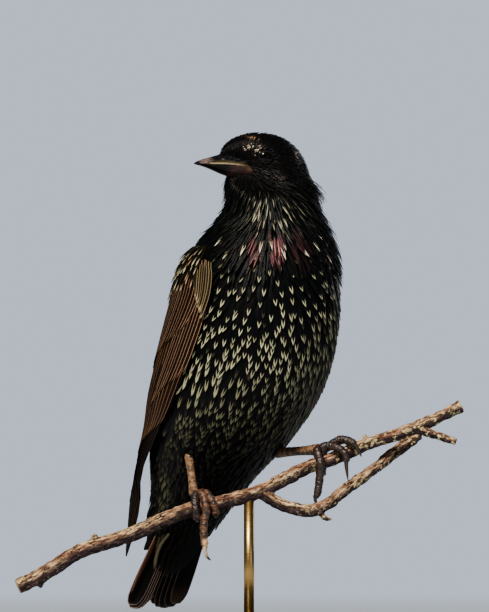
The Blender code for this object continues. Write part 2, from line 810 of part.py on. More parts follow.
def make_stand():
    bpy.ops.mesh.primitive_cylinder_add(
        vertices=48, radius=BASE_RADIUS, depth=BASE_HEIGHT, location=(0, 0, BASE_HEIGHT / 2)
    )
    base = bpy.context.object
    base.name = "stand_base"
    adopt(base, STAND_WOOD)
    round_edge = base.modifiers.new("edge", "BEVEL")
    round_edge.width = 1.2 * MM
    round_edge.segments = 1
    round_edge.limit_method = "ANGLE"
    round_edge.angle_limit = math.radians(60)
    foot = rod_place()
    bpy.ops.mesh.primitive_cylinder_add(
        vertices=16,
        radius=ROD_RADIUS + GAP,
        depth=10 * MM,
        location=foot + UP * (BASE_HEIGHT - ROD_FOOT - GAP + 5 * MM),
    )
    hole = bpy.context.object
    adopt(hole, STAND_WOOD, CUTTERS)
    cut(base, [hole], STAND_WOOD)
    bottom = BASE_HEIGHT - ROD_FOOT
    top = rod_height()
    bpy.ops.mesh.primitive_cylinder_add(
        vertices=16, radius=ROD_RADIUS, depth=top - bottom, location=foot + UP * (top + bottom) / 2
    )
    rod = bpy.context.object
    rod.name = "stand_rod"
    adopt(rod, STAND_METAL)


# Legs: where each comes out of the belly, as a height and an angle round the body from its
# right, and where along the branch, left to right, each foot grips
LEG_ROOTS = {"right": (75.5, 34.0), "left": (77.0, 126.0)}
FEET = {"right": -16.4 * MM, "left": 30.8 * MM}
THIGH_SHOWS = 3.5 * MM
# How far a toe's middle line lies off the bark, and the ball of the foot over that
TOE_OFF_BARK = TOE_RADIUS + 0.35 * MM
BALL_RISE = 0.5 * MM


def branch_under(across):
    """The branch's middle line where it crosses this plane: a point, its way, up and front."""
    path = branch_path()
    i = max(k for k in range(len(path) - 1) if path[k].x <= across)
    along = (path[i + 1] - path[i]).normalized()
    middle = path[i] + along * ((across - path[i].x) / along.x)
    up = (UP - along * UP.dot(along)).normalized()
    return middle, along, up, along.cross(up)


def ball_of_foot(side):
    middle, _, up, _ = branch_under(FEET[side])
    return middle + up * (BRANCH_RADIUS + TOE_OFF_BARK + BALL_RISE)


def toe_round(side, places):
    """Points round the branch. Each place is a slide along it in millimetres, a turn in degrees
    from its top towards the front, and a rise over the bark."""
    points = []
    for slide, turn, rise in places:
        middle, _, up, front = branch_under(FEET[side] + slide * MM)
        a = math.radians(turn)
        out = BRANCH_RADIUS + TOE_OFF_BARK + rise * MM
        points.append(middle + (up * math.cos(a) + front * math.sin(a)) * out)
    return points


def toe(name, points, thick, claw_from):
    """A toe with swollen joints that ends in a tapered claw. claw_from is where the claw starts."""
    path = spline(points, 2)
    radii = []
    for i in range(len(path)):
        part = i / (len(path) - 1)
        if part < claw_from:
            radii.append(thick * (1.0 + 0.09 * math.cos(i * math.pi)) * (1 - 0.2 * part))
        else:
            rest = (part - claw_from) / (1 - claw_from)
            radii.append(thick * 0.72 * (1 - rest) ** 0.8 + CLAW_TIP)
    return tube(name, path, radii, SCUTES, 6)


def make_leg(side):
    """The thigh's feathers and the bare leg under them. Returns where the foot takes over."""
    height, angle = LEG_ROOTS[side]
    root, normal = surface(height * MM, math.radians(angle))
    ball = ball_of_foot(side)
    along = (ball - root).normalized()
    ankle = root + along * THIGH_SHOWS
    end = ball - along * FOOT_STUB
    start = ankle + along * GAP
    steps = 6
    path = [start.lerp(end, i / steps) for i in range(steps + 1)]
    radii = [TARSUS_RADIUS * (1.12 - 0.2 * math.sin(math.pi * i / steps)) for i in range(steps + 1)]
    tube("tarsus_" + side, path, radii, SCUTES, 8)
    thigh_path = [root - normal * 6 * MM, root - normal * 2.5 * MM, root.lerp(ankle, 0.45), ankle]
    thigh_radii = [6.0 * MM, 5.2 * MM, 3.6 * MM, 2.0 * MM]
    thigh = tube("thigh_" + side, thigh_path, thigh_radii, PLUMAGE, 12)
    room = body_loft("room", TAIL_TOP, NECK_BOTTOM, PLUMAGE, 20, GAP, CUTTERS)
    cut(thigh, [room], PLUMAGE)
    return end + along * GAP


def make_foot(side, front_toes, hind):
    """A foot round the branch. Each toe is its places round the bark, the steps it takes off the
    bark after them, its thickness and where along it the claw starts."""
    top = make_leg(side)
    ball = ball_of_foot(side)
    ankle = [top, top.lerp(ball, 0.5), ball]
    pieces = [tube("ankle", ankle, [1.45 * MM, 1.6 * MM, 1.5 * MM], SCUTES, 8)]
    for places, steps, thick, claw in (*front_toes, hind):
        points = toe_round(side, places)
        for step in steps:
            points.append(points[-1] + Vector(step) * MM)
        pieces.append(toe("toe", points, TOE_RADIUS * thick, claw))
    return unite("foot_" + side, pieces, SCUTES)


def make_feet():
    wrapped = [(30, 0.3), (75, 0.0), (120, 0.0), (160, -0.1), (200, -0.3)]
    slides = (-0.6, -1.8, -3.0, -3.6, -3.7, -3.5)
    inner = [(slides[0], 6, 0.5)] + [(s, *turn) for s, turn in zip(slides[1:], wrapped)]
    outer = [(-1.5 * s, turn, rise) for s, turn, rise in inner]
    hind = [(-0.1, -8, 0.5)] + [(-0.9, -turn, rise) for turn, rise in wrapped]
    hanging = ((-1.2, 0.2, -4.0), (-0.2, 0.2, -4.4), (1.4, 0.3, -3.6), (2.2, 0.6, -4.4))
    middle = [(0.1, 10, 0.5), (0.9, 35, 0.6), (1.4, 80, 0.4), (1.2, 112, 0.8)]
    make_foot(
        "right",
        ((inner, (), 1.0, 0.66), (outer, (), 1.0, 0.66), (middle, hanging, 1.1, 0.72)),
        (hind, (), 1.1, 0.6),
    )
    inner = [(-0.4, 8, 0.5), (-1.2, 34, 1.2), (-1.6, 84, 0.5)]
    down = ((-0.4, 1.4, -5.0), (-1.2, 0.6, -5.6), (-1.2, 0.4, -4.2))
    middle = [(0.3, 14, 0.4), (2.6, 14, 1.9), (5.6, 40, 1.6), (7.8, 88, 0.6)]
    hooked = ((0.4, 0.3, -5.0), (0.2, 0.4, -4.4))
    outer = [(0.9, -6, 0.4), (4.6, -4, 1.2), (8.8, 12, 2.0), (11.8, 55, 1.0), (12.6, 95, 0.3)]
    outer.append((12.8, 132, 0.4))
    make_foot(
        "left",
        ((inner, down, 1.15, 0.74), (middle, hooked, 1.0, 0.7), (outer, (), 1.0, 0.7)),
        (hind, (), 1.1, 0.6),
    )


for old in list(bpy.data.objects):
    bpy.data.objects.remove(old)
BIRD = bpy.data.collections.new("starling")
CUTTERS = bpy.data.collections.new("cutters")
bpy.context.scene.collection.children.link(BIRD)
bpy.context.scene.collection.children.link(CUTTERS)
PLUMAGE = material("black_plumage", (0.018, 0.017, 0.020), 0.42)
HORN = material("bill_horn", (0.055, 0.042, 0.036), 0.38)
EYE_FINISH = material("dark_eye", (0.012, 0.008, 0.007), 0.08)
SCUTES = material("leg_scutes", (0.150, 0.075, 0.045), 0.5)
BARK = material("bark", (0.300, 0.200, 0.130), 0.85)
STAND_WOOD = material("stand_ebonised_wood", (0.030, 0.026, 0.024), 0.4)
STAND_METAL = material("stand_brass", (0.560, 0.430, 0.220), 0.35, 1.0)

make_head()
make_eyes()
make_bill()
make_neck()
make_torso()
make_tail()
make_wings()
make_feet()
make_perch()
make_stand()
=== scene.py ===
import math

import bmesh
import bpy
import numpy as np
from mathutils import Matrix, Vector, noise
from mathutils.bvhtree import BVHTree
from mathutils.kdtree import KDTree


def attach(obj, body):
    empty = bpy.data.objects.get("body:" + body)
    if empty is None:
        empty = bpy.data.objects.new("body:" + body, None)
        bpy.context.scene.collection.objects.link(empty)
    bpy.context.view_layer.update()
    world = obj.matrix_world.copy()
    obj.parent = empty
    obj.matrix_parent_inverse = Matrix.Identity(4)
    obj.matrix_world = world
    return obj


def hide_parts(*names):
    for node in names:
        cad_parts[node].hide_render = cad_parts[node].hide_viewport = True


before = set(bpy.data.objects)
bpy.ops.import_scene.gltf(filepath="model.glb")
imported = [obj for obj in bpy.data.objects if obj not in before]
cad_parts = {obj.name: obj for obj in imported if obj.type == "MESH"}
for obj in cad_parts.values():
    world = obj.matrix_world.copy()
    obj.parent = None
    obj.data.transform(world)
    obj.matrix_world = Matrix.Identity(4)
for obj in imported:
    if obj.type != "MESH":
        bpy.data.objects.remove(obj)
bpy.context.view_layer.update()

MM = 0.001

# Camera
# The photograph looks level at the bird from a few metres away, through a long lens. One of
# its pixels is 0.39 mm at the bird, and the bird's middle line is just left of its centre.
PHOTO_HIGH = 612
PIXEL = 0.39 * MM
VIEW_HEIGHT = 134.3 * MM
CAMERA_DISTANCE = 4.0
SENSOR = 36.0

camera_data = bpy.data.cameras.new("studio_camera")
camera_data.sensor_width = SENSOR
camera_data.lens = SENSOR * CAMERA_DISTANCE / (PHOTO_HIGH * PIXEL)
camera = bpy.data.objects.new("studio_camera", camera_data)
camera.location = (0.0, -CAMERA_DISTANCE, VIEW_HEIGHT)
camera.rotation_euler = (math.radians(90), 0.0, 0.0)
bpy.context.scene.collection.objects.link(camera)
bpy.context.scene.camera = camera

# Skin
# The bird's own body under the coat: head, neck, trunk and the feathered thighs as one closed
# skin with no seam, made as level slices and sunk by the depth of the feathers, near black.
BODY_YAW = math.radians(35)
HEAD_TURN = math.radians(85)
UP = np.array((0.0, 0.0, 1.0))
FORWARD = np.array((math.sin(BODY_YAW), -math.cos(BODY_YAW), 0.0))
RIGHT = np.array((-math.cos(BODY_YAW), -math.sin(BODY_YAW), 0.0))
BODY_AXIS = np.array((2.0, 0.0, 0.0)) * MM

# Height, middle forward, middle right, half length, half width, turn of the long axis towards
# the bird's right in degrees, and how pointed the front is, as in the solids, in millimetres.
SLICES = (
    (38.0, -54.0, 0.6, 3.4, 12.6, 0, 2.0),
    (43.0, -50.2, 0.4, 7.6, 14.8, 0, 2.0),
    (51.0, -43.8, 0.0, 13.2, 16.4, 0, 2.0),
    (58.7, -37.5, 0.0, 18.4, 17.3, 0, 2.0),
    (66.5, -32.2, 0.0, 22.0, 19.6, 0, 2.0),
    (82.0, -20.4, 0.0, 29.9, 27.2, 0, 2.0),
    (101.5, -7.5, 0.0, 35.0, 32.2, 0, 2.0),
    (125.0, 2.6, 0.0, 35.4, 32.2, 0, 2.0),
    (148.4, 8.4, 0.0, 32.0, 29.4, 0, 2.0),
    (160.0, 11.8, 0.0, 27.4, 25.2, 0, 2.0),
    (169.0, 14.2, -0.3, 22.0, 20.0, 18, 2.0),
    (176.0, 15.2, 0.1, 20.4, 17.2, 62, 2.0),
    (181.0, 14.4, 1.2, 19.8, 14.9, 85, 1.7),
    (185.4, 13.9, 2.1, 19.3, 13.6, 85, 1.36),
    (190.0, 13.7, 4.1, 19.8, 13.0, 85, 1.28),
    (194.0, 13.6, 5.2, 18.4, 12.1, 85, 1.5),
    (197.1, 13.4, 5.2, 15.1, 10.4, 85, 1.8),
    (199.2, 13.3, 5.1, 11.5, 8.4, 85, 2.0),
    (200.8, 13.2, 5.0, 7.0, 5.6, 85, 2.0),
    (201.7, 13.1, 4.9, 2.6, 2.2, 85, 2.0),
)
# Heights in millimetres, as in the table.
SKIN_BOTTOM, SKIN_TOP = 38.2, 201.6
NECK_BOTTOM, HEAD_BOTTOM = 165.0, 178.0
SKIN_ROWS = 210
SKIN_COLUMNS = 160
COAT_DEPTH_BODY = 1.5 * MM
COAT_DEPTH_HEAD = 0.75 * MM
COAT_DEPTH_THIGH = 2.0 * MM
SOCKET_GAP = 0.08 * MM


def bird(forward, right, height):
    """Points from the bird's own directions, in metres."""
    forward, right, height = (np.asarray(v)[..., None] for v in (forward, right, height))
    return BODY_AXIS + FORWARD * forward + RIGHT * right + UP * height


def smooth_table(rows, at):
    """All columns of a table of stations at values of its first one, on a Catmull-Rom curve."""
    table = np.array(rows, float)
    at = np.asarray(at, float)
    i = np.clip(np.searchsorted(table[:, 0], at, side="right") - 1, 0, len(table) - 2)
    before, start = table[np.maximum(i - 1, 0)], table[i]
    end, after = table[i + 1], table[np.minimum(i + 2, len(table) - 1)]
    span = (end - start)[..., :1]
    t = np.clip((at[..., None] - start[..., :1]) / span, 0.0, 1.0)
    slope_in = span * (end - before) / (end - before)[..., :1]
    slope_out = span * (after - start) / (after - start)[..., :1]
    return (
        (2 * t**3 - 3 * t**2 + 1) * start
        + (t**3 - 2 * t**2 + t) * slope_in
        + (3 * t**2 - 2 * t**3) * end
        + (t**3 - t**2) * slope_out
    )


def slice_point(height, angle):
    """Points on the coat's outside at heights in millimetres and angles from right to front."""
    _, forward, right, half_length, half_width, turn, point = np.moveaxis(
        smooth_table(SLICES, height), -1, 0
    )
    turned = angle + np.radians(turn)
    along, across = np.sin(turned), np.cos(turned)
    power = np.where(along > 0, point, 2.0)
    reach = (abs(along / half_length) ** power + abs(across / half_width) ** power) ** (-1 / power)
    forward, right = forward + reach * np.sin(angle), right + reach * np.cos(angle)
    return bird(forward * MM, right * MM, height * MM)


def unit(vectors):
    return vectors / np.maximum(np.linalg.norm(vectors, axis=-1, keepdims=True), 1e-12)


def square_to(vectors, axis):
    """The vectors without their parts along an axis, at unit length."""
    return unit(vectors - axis * np.sum(vectors * axis, axis=-1, keepdims=True))


def outside(height, angle):
    """Points on the coat's outside with the surface's own normals."""
    height, angle = np.broadcast_arrays(np.asarray(height, float), np.asarray(angle, float))
    rise = slice_point(height + 0.4, angle) - slice_point(height - 0.4, angle)
    round_it = slice_point(height, angle + 0.02) - slice_point(height, angle - 0.02)
    here = slice_point(height, angle)
    normal = unit(np.cross(rise, round_it))
    middle = smooth_table(SLICES, height)
    core = bird(middle[..., 1] * MM, middle[..., 2] * MM, height * MM)
    facing = np.sum(normal * (here - core), axis=-1, keepdims=True)
    return here, np.where(facing < 0, -normal, normal)


def linear(hex_colour):
    """An sRGB hex colour as linear numbers, with full alpha."""
    parts = [int(hex_colour[i : i + 2], 16) / 255 for i in (1, 3, 5)]
    return (*(c / 12.92 if c <= 0.04045 else ((c + 0.055) / 1.055) ** 2.4 for c in parts), 1.0)


def add_node(tree, kind, inputs, output=0, **settings):
    """Adds a node and gives one output. Each input is a value, a hex colour or another's output."""
    node = tree.nodes.new("ShaderNode" + kind)
    for name, value in settings.items():
        setattr(node, name, value)
    for socket, value in inputs.items():
        if isinstance(value, bpy.types.NodeSocket):
            tree.links.new(value, node.inputs[socket])
        else:
            node.inputs[socket].default_value = linear(value) if isinstance(value, str) else value
    return node.outputs[output]


# A mix of two colours takes its share at socket 0 and the colours at 6 and 7.
RGBA = {"output": 2, "data_type": "RGBA"}


def new_material(name, roughness, metallic=0.0):
    """A material, its node tree and its Principled shader."""
    made = bpy.data.materials.new(name)
    made.use_nodes = True
    shader = made.node_tree.nodes["Principled BSDF"]
    shader.inputs["Roughness"].default_value = roughness
    shader.inputs["Metallic"].default_value = metallic
    return made, made.node_tree, shader


def mesh_object(name, points, faces, finish):
    """A smooth object from an array of points and arrays of faces, each array with its own size."""
    faces = [np.asarray(group) for group in faces if len(group)]
    corners = np.concatenate([group.ravel() for group in faces])
    sizes = np.concatenate([np.full(len(group), group.shape[1]) for group in faces])
    mesh = bpy.data.meshes.new(name)
    mesh.vertices.add(len(points))
    mesh.vertices.foreach_set("co", np.asarray(points, np.float32).ravel())
    mesh.loops.add(len(corners))
    mesh.loops.foreach_set("vertex_index", corners.astype(np.int32))
    mesh.polygons.add(len(sizes))
    starts = np.concatenate(([0], np.cumsum(sizes)[:-1])).astype(np.int32)
    mesh.polygons.foreach_set("loop_start", starts)
    mesh.polygons.foreach_set("use_smooth", np.ones(len(sizes), bool))
    mesh.update(calc_edges=True)
    mesh.materials.append(finish)
    made = bpy.data.objects.new(name, mesh)
    bpy.context.scene.collection.objects.link(made)
    return made


def grid_faces(rows, columns):
    """Quads over a grid whose columns close round, and its first and last rows as caps."""
    start = np.arange(rows - 1)[:, None] * columns
    j = np.arange(columns)
    k = (j + 1) % columns
    quads = np.stack((start + j, start + k, start + columns + k, start + columns + j), -1)
    return quads.reshape(-1, 4), j[None, ::-1], (rows - 1) * columns + j[None]


def face_outward(mesh):
    """Turns the faces of a closed mesh outwards."""
    turned_round = bmesh.new()
    turned_round.from_mesh(mesh)
    bmesh.ops.recalc_face_normals(turned_round, faces=turned_round.faces)
    turned_round.to_mesh(mesh)
    turned_round.free()


def loft(name, rings, finish):
    """A closed smooth object through rings of equal counts."""
    rings = np.asarray(rings)
    made = mesh_object(name, rings.reshape(-1, 3), grid_faces(*rings.shape[:2]), finish)
    face_outward(made.data)
    return made


def spline(route, steps):
    """Points along a Catmull-Rom curve through the route, steps to each stretch."""
    route = np.asarray(route, float)
    points = []
    for i in range(len(route) - 1):
        a, b = route[max(i - 1, 0)], route[i]
        c, d = route[i + 1], route[min(i + 2, len(route) - 1)]
        for t in np.arange(steps) / steps:
            bend = (2 * a - 5 * b + 4 * c - d) * t * t + (3 * b - a - 3 * c + d) * t**3
            points.append(0.5 * (2 * b + (c - a) * t + bend))
    points.append(route[-1])
    return np.array(points)


def tube_frame(path):
    """The way, side and upper direction at each point of a path."""
    way = unit(np.gradient(path, axis=0))
    reference = UP if abs(unit(path[-1] - path[0])[2]) < 0.9 else np.array((0.0, -1.0, 0.0))
    sides, ups = [], []
    for along in way:
        side = unit(np.cross(along, reference))
        reference = np.cross(side, along)
        sides.append(side)
        ups.append(reference)
    return way, np.array(sides), np.array(ups)


def whole_turn(count):
    return np.arange(count) * math.tau / count


def around(side, up, turn, flat=1.0):
    """Directions at these angles from side towards up, narrowed by flat along side."""
    return side[..., None, :] * np.cos(turn)[:, None] * flat + up[..., None, :] * np.sin(turn)[:, None]


def tube_rings(path, radii, sides):
    """Rings of points round a path, with one radius for each of the path's points."""
    _, side, up = tube_frame(path)
    return path[:, None] + around(side, up, whole_turn(sides)) * radii[:, None, None]


def bake_modifiers(target):
    graph = bpy.context.evaluated_depsgraph_get()
    mesh = bpy.data.meshes.new_from_object(target.evaluated_get(graph))
    target.modifiers.clear()
    target.data = mesh


def combine(target, others, operation):
    """Adds or takes away closed objects and applies it."""
    for other in others:
        step = target.modifiers.new("join", "BOOLEAN")
        step.operation = operation
        step.solver = "MANIFOLD"
        step.object = other
    bake_modifiers(target)
    for other in others:
        bpy.data.objects.remove(other)


# The skull's own forward, left and middle, all level.
AHEAD = FORWARD * math.cos(HEAD_TURN) + RIGHT * math.sin(HEAD_TURN)
HEAD_LEFT = np.cross(UP, AHEAD)
SKULL = bird(13.7 * MM, 5.1 * MM, 0.0)
EYE_RADIUS = 3.5 * MM
EYE_HEIGHT = 192.0
EYE_AHEAD = 5.6 * MM
EYE_SUNK = 2.4 * MM


def eye_place(side):
    """The eyeball's middle and the way it looks; side is 1 for the left eye, -1 for the right."""
    points, normals = outside(EYE_HEIGHT, whole_turn(720))
    offset = points - SKULL
    miss = abs(offset @ AHEAD - EYE_AHEAD) + (offset @ HEAD_LEFT * side < 0)
    best = np.argmin(miss)
    return points[best] - normals[best] * EYE_SUNK, normals[best]


EYES = {"left": eye_place(1), "right": eye_place(-1)}

# Each leg leaves the coat at a height in millimetres and an angle in degrees, and grips the
# branch at a place across the picture.
LEG_ROOTS = {"right": (75.5, 34.0), "left": (77.0, 126.0)}
FEET = {"right": -16.4 * MM, "left": 30.8 * MM}
THIGH_SHOWS = 3.5 * MM
THIGH_RADII = (6.0, 5.2, 3.6, 2.0)
TOE_RADIUS = 1.25 * MM
BALL_OVER_TOES = 0.85 * MM
BRANCH_RADIUS = 3.0 * MM
# The branch's middle line, from its thick end to its thin one, in millimetres.
BRANCH_ROUTE = (
    (-88.0, -24.0, 25.5),
    (-80.0, -23.0, 29.2),
    (-63.0, -20.8, 39.5),
    (-45.0, -18.4, 45.2),
    (-22.5, -15.8, 54.8),
    (-9.0, -14.2, 57.9),
    (6.8, -12.0, 62.6),
    (22.0, -9.6, 70.3),
    (35.3, -8.2, 75.2),
    (47.6, -6.6, 80.4),
    (66.9, -3.6, 87.0),
    (84.5, -0.6, 95.3),
)
GRIP_PATH = spline(np.array(BRANCH_ROUTE) * MM, 3)


def branch_under(across):
    """The branch's middle line where it crosses this plane: a point, its way, up and front."""
    i = max(k for k in range(len(GRIP_PATH) - 1) if GRIP_PATH[k][0] <= across)
    along = unit(GRIP_PATH[i + 1] - GRIP_PATH[i])
    middle = GRIP_PATH[i] + along * ((across - GRIP_PATH[i][0]) / along[0])
    up = square_to(UP, along)
    return middle, along, up, np.cross(along, up)


def leg_line(side):
    """Where a leg leaves the body, the body's normal there, its ankle and the ball of its foot."""
    height, angle = LEG_ROOTS[side]
    root, normal = outside(height, math.radians(angle))
    middle, _, up, _ = branch_under(FEET[side])
    ball = middle + up * (BRANCH_RADIUS + TOE_RADIUS + BALL_OVER_TOES)
    return root, normal, root + unit(ball - root) * THIGH_SHOWS, ball


def thigh_rings(side, shrink, steps=5, sides=32):
    """Rings round a thigh from inside the body to its ankle, shrunk by a depth of coat."""
    root, normal, ankle, _ = leg_line(side)
    route = [root - normal * 6 * MM, root - normal * 2.5 * MM, root * 0.55 + ankle * 0.45, ankle]
    path = spline(route, steps)
    radii = np.interp(np.linspace(0, 3, len(path)), range(4), THIGH_RADII) * MM
    return tube_rings(path, np.maximum(radii - shrink, 0.5 * MM), sides)


# Near black skin with a mat of down on it, so nothing bright shows between two feathers.
DOWN, down_tree, down_shader = new_material("black_down_and_skin", 0.85)
down_shader.inputs["Specular IOR Level"].default_value = 0.1
down_place = add_node(down_tree, "TexCoord", {}, "Object")
down_tuft = {"Vector": down_place, "Scale": 1 / (1.2 * MM), "Detail": 4.0}
down_tuft = add_node(down_tree, "TexNoise", down_tuft)
down_mix = add_node(down_tree, "Mix", {0: down_tuft, 6: "#050505", 7: "#0f0e0f"}, **RGBA)
down_tree.links.new(down_mix, down_shader.inputs["Base Color"])

heights = np.linspace(SKIN_BOTTOM, SKIN_TOP, SKIN_ROWS)
coat_points, coat_normals = outside(heights[:, None], whole_turn(SKIN_COLUMNS)[None])
coat_depth = np.interp(heights, (NECK_BOTTOM, HEAD_BOTTOM), (COAT_DEPTH_BODY, COAT_DEPTH_HEAD))
end_in = np.clip((heights - SKIN_BOTTOM) / 4.0, 0.2, 1.0)
skin = loft("skin", coat_points - coat_normals * (coat_depth * end_in)[:, None, None], DOWN)
thighs = [loft("thigh", thigh_rings(side, COAT_DEPTH_THIGH), DOWN) for side in ("left", "right")]
combine(skin, thighs, "UNION")
sockets = []
for middle, _ in EYES.values():
    bpy.ops.mesh.primitive_uv_sphere_add(
        segments=40, ring_count=24, radius=EYE_RADIUS + SOCKET_GAP, location=middle
    )
    sockets.append(bpy.context.object)
combine(skin, sockets, "DIFFERENCE")
skin.data.shade_smooth()
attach(skin, "root")
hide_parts("head", "neck", "torso", "thigh_left", "thigh_right")

# Coat feathers
# Each is a thin curved vane of black keratin barbs on a shaft, rooted in the skin and lying
# over the next like a tile. Fresh autumn feathers end in a buff point, which makes the spots.
TOP_COLUMNS = (-1.0, -0.55, 0.0, 0.55, 1.0)
NARROW_COLUMNS = (-1.0, 0.0, 1.0)


def body_feather_shape(part):
    """Half width along a contour feather over its largest: full at the middle, pointed at the tip."""
    rise = np.clip(part / 0.35, 0, 1)
    fall = np.clip((part - 0.42) / 0.58, 0, 1)
    return (0.6 + 0.4 * rise) * (1 - fall**1.5) ** 0.85 * 0.96 + 0.04


def hackle_shape(part):
    """Half width along a long narrow hackle."""
    fall = np.clip((part - 0.3) / 0.7, 0, 1)
    return (0.75 + 0.25 * np.clip(part / 0.3, 0, 1)) * (1 - fall**1.7) + 0.05


def blunt_shape(part):
    """Half width along a broad feather with a rounded end."""
    fall = np.clip((part - 0.62) / 0.38, 0, 1)
    return (0.62 + 0.38 * np.clip(part / 0.4, 0, 1)) * np.sqrt(1 - 0.97 * fall**2.4)


def write_attribute(mesh, name, first, second=0.0, third=0.0):
    """Three numbers for each vertex, from arrays that are spread over one another."""
    values = np.stack(np.broadcast_arrays(first, second, third), -1)
    layer = mesh.attributes.new(name, "FLOAT_VECTOR", "POINT")
    layer.data.foreach_set("vector", values.astype(np.float32).ravel())


def distance_along(lines):
    """How far each point of a line, or of each of many lines, is from the line's start."""
    steps = np.linalg.norm(np.diff(lines, axis=-2), axis=-1)
    return np.insert(np.cumsum(steps, axis=-1), 0, 0.0, axis=-1)


def in_rows(count, *columns):
    """A row for each feather from columns, where a single number fills its whole column."""
    return np.stack([np.broadcast_to(column, count) for column in columns], -1)


def vanes(
    name, shafts, normals, half_width, finish, look, uv, columns=TOP_COLUMNS,
    camber=0.22, tilt=0.0, thick=0.14 * MM, shaft=0.0, outer=1,
):
    """One object of many feathers. shafts and normals hold a line of points for each; half_width
    their half widths. look gives each its spot length in mm, paleness, warmth, a random share,
    gloss hue and how much of its edge is pale; uv the middle and size of its patch on the unwrap.
    camber and tilt bend and turn a vane, shaft is its ridge's height and outer its outer side."""
    count, stations = half_width.shape
    along = unit(np.gradient(shafts, axis=1))
    side = unit(np.cross(along, normals))
    up = np.cross(side, along)
    top = np.array(columns)
    x = np.concatenate((top, top[-2:0:-1]))
    is_top = np.concatenate((np.ones(len(top)), -np.ones(len(top) - 2)))
    edge = abs(x) > 0.99
    wide = half_width[..., None] * x
    raised = -camber * abs(wide) * abs(x) + tilt * wide
    raised = raised + np.where(edge, 0.0, is_top * thick / 2 * (1 - 0.6 * abs(x)))
    raised = raised + shaft * (abs(x) < 0.01) * (is_top > 0)
    points = shafts[:, :, None] + side[:, :, None] * wide[..., None] + up[:, :, None] * raised[..., None]
    ring = len(x)
    base = np.arange(count)[:, None, None] * stations * ring
    row = np.arange(stations - 1)[None, :, None] * ring
    j = np.arange(ring)
    k = (j + 1) % ring
    corner = base + row
    quads = np.stack((corner + j, corner + ring + j, corner + ring + k, corner + k), -1)
    first = np.arange(count)[:, None] * stations * ring + j[None]
    last = first[:, ::-1] + (stations - 1) * ring
    made = mesh_object(name, points.reshape(-1, 3), (quads.reshape(-1, 4), first, last), finish)
    mesh = made.data
    travelled = distance_along(shafts)
    from_tip = (travelled[:, -1:] - travelled) / MM
    inside = (half_width[..., None] - abs(wide)) / MM
    write_attribute(mesh, "vane", wide / MM * outer, inside, from_tip[..., None])
    whole_look = np.broadcast_to(look.T[..., None, None], (look.shape[1], *wide.shape))
    write_attribute(mesh, "spot", *whole_look[:3])
    write_attribute(mesh, "feather", *whole_look[3:])
    part = travelled / np.maximum(travelled[:, -1:], 1e-9) - 0.5
    u, v, patch_wide, patch_tall = uv.T[..., None, None]
    patch = np.broadcast_arrays(u + patch_wide * x * 0.5, v - patch_tall * part[..., None])
    corners = np.zeros(len(mesh.loops), np.int32)
    mesh.loops.foreach_get("vertex_index", corners)
    unwrap = np.stack(patch, -1).reshape(-1, 2)[corners]
    layer = mesh.uv_layers.new(name="OFBake")
    layer.uv.foreach_set("vector", unwrap.astype(np.float32).ravel())
    rim = np.tile(np.where(edge, np.sign(x), 0.0), count * stations)
    pairs = np.zeros(len(mesh.edges) * 2, np.int32)
    mesh.edges.foreach_get("vertices", pairs)
    ends = rim[pairs.reshape(-1, 2)]
    sharp = mesh.attributes.new("sharp_edge", "BOOLEAN", "EDGE")
    sharp.data.foreach_set("value", (ends[:, 0] != 0) & (ends[:, 0] == ends[:, 1]))
    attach(made, "root")
    return made


def spaced(points, spacing):
    """Indices of points that keep their own spacing from every earlier kept one."""
    tree = KDTree(len(points))
    for i, point in enumerate(points):
        tree.insert(point, i)
    tree.balance()
    free = np.ones(len(points), bool)
    kept = []
    for i in range(len(points)):
        if free[i]:
            kept.append(i)
            for _, j, _ in tree.find_range(points[i], spacing[i]):
                free[j] = False
    return np.array(kept)


def scattered(draw, low, high, tries):
    """Random places on the coat between two heights, evenly by area, as heights and angles."""
    height = draw.uniform(low, high, tries * 3)
    angle = draw.uniform(0, math.tau, tries * 3)
    rise = slice_point(height + 0.5, angle) - slice_point(height - 0.5, angle)
    turn = (slice_point(height, angle + 0.01) - slice_point(height, angle - 0.01)) / 0.02
    area = np.linalg.norm(np.cross(rise, turn), axis=-1)
    keep = draw.uniform(0, 1, tries * 3) < area / np.percentile(area, 99)
    return height[keep][:tries], angle[keep][:tries]


quads, first, last = grid_faces(SKIN_ROWS, SKIN_COLUMNS)
COAT = BVHTree.FromPolygons(
    coat_points.reshape(-1, 3).tolist(), quads.tolist() + first.tolist() + last.tolist()
)
TAIL_WAY = (-0.550, -0.835)
TAIL_DIRECTION = FORWARD * TAIL_WAY[0] + UP * TAIL_WAY[1]
BILL_BASE = SKULL + AHEAD * 14 * MM + UP * 188.5 * MM


def on_coat(points):
    """The nearest places on the coat's outside, and its normals there."""
    found = [COAT.find_nearest(Vector(p)) for p in points.tolist()]
    return np.array([f[0] for f in found]), unit(np.array([f[1] for f in found]))


# The lie of the breast seen from the front: how far it leans to the bird's right at each height
# in millimetres, for each unit of fall, and how far it fans out on either side of the midline.
LEAN_HEIGHTS = (45, 80, 100, 120, 140, 165)
LEAN = (0.34, 0.42, 0.30, 0.13, 0.04, 0.02)
FAN = (0.0, 0.0, 0.0, 0.10, 0.36, 0.50)


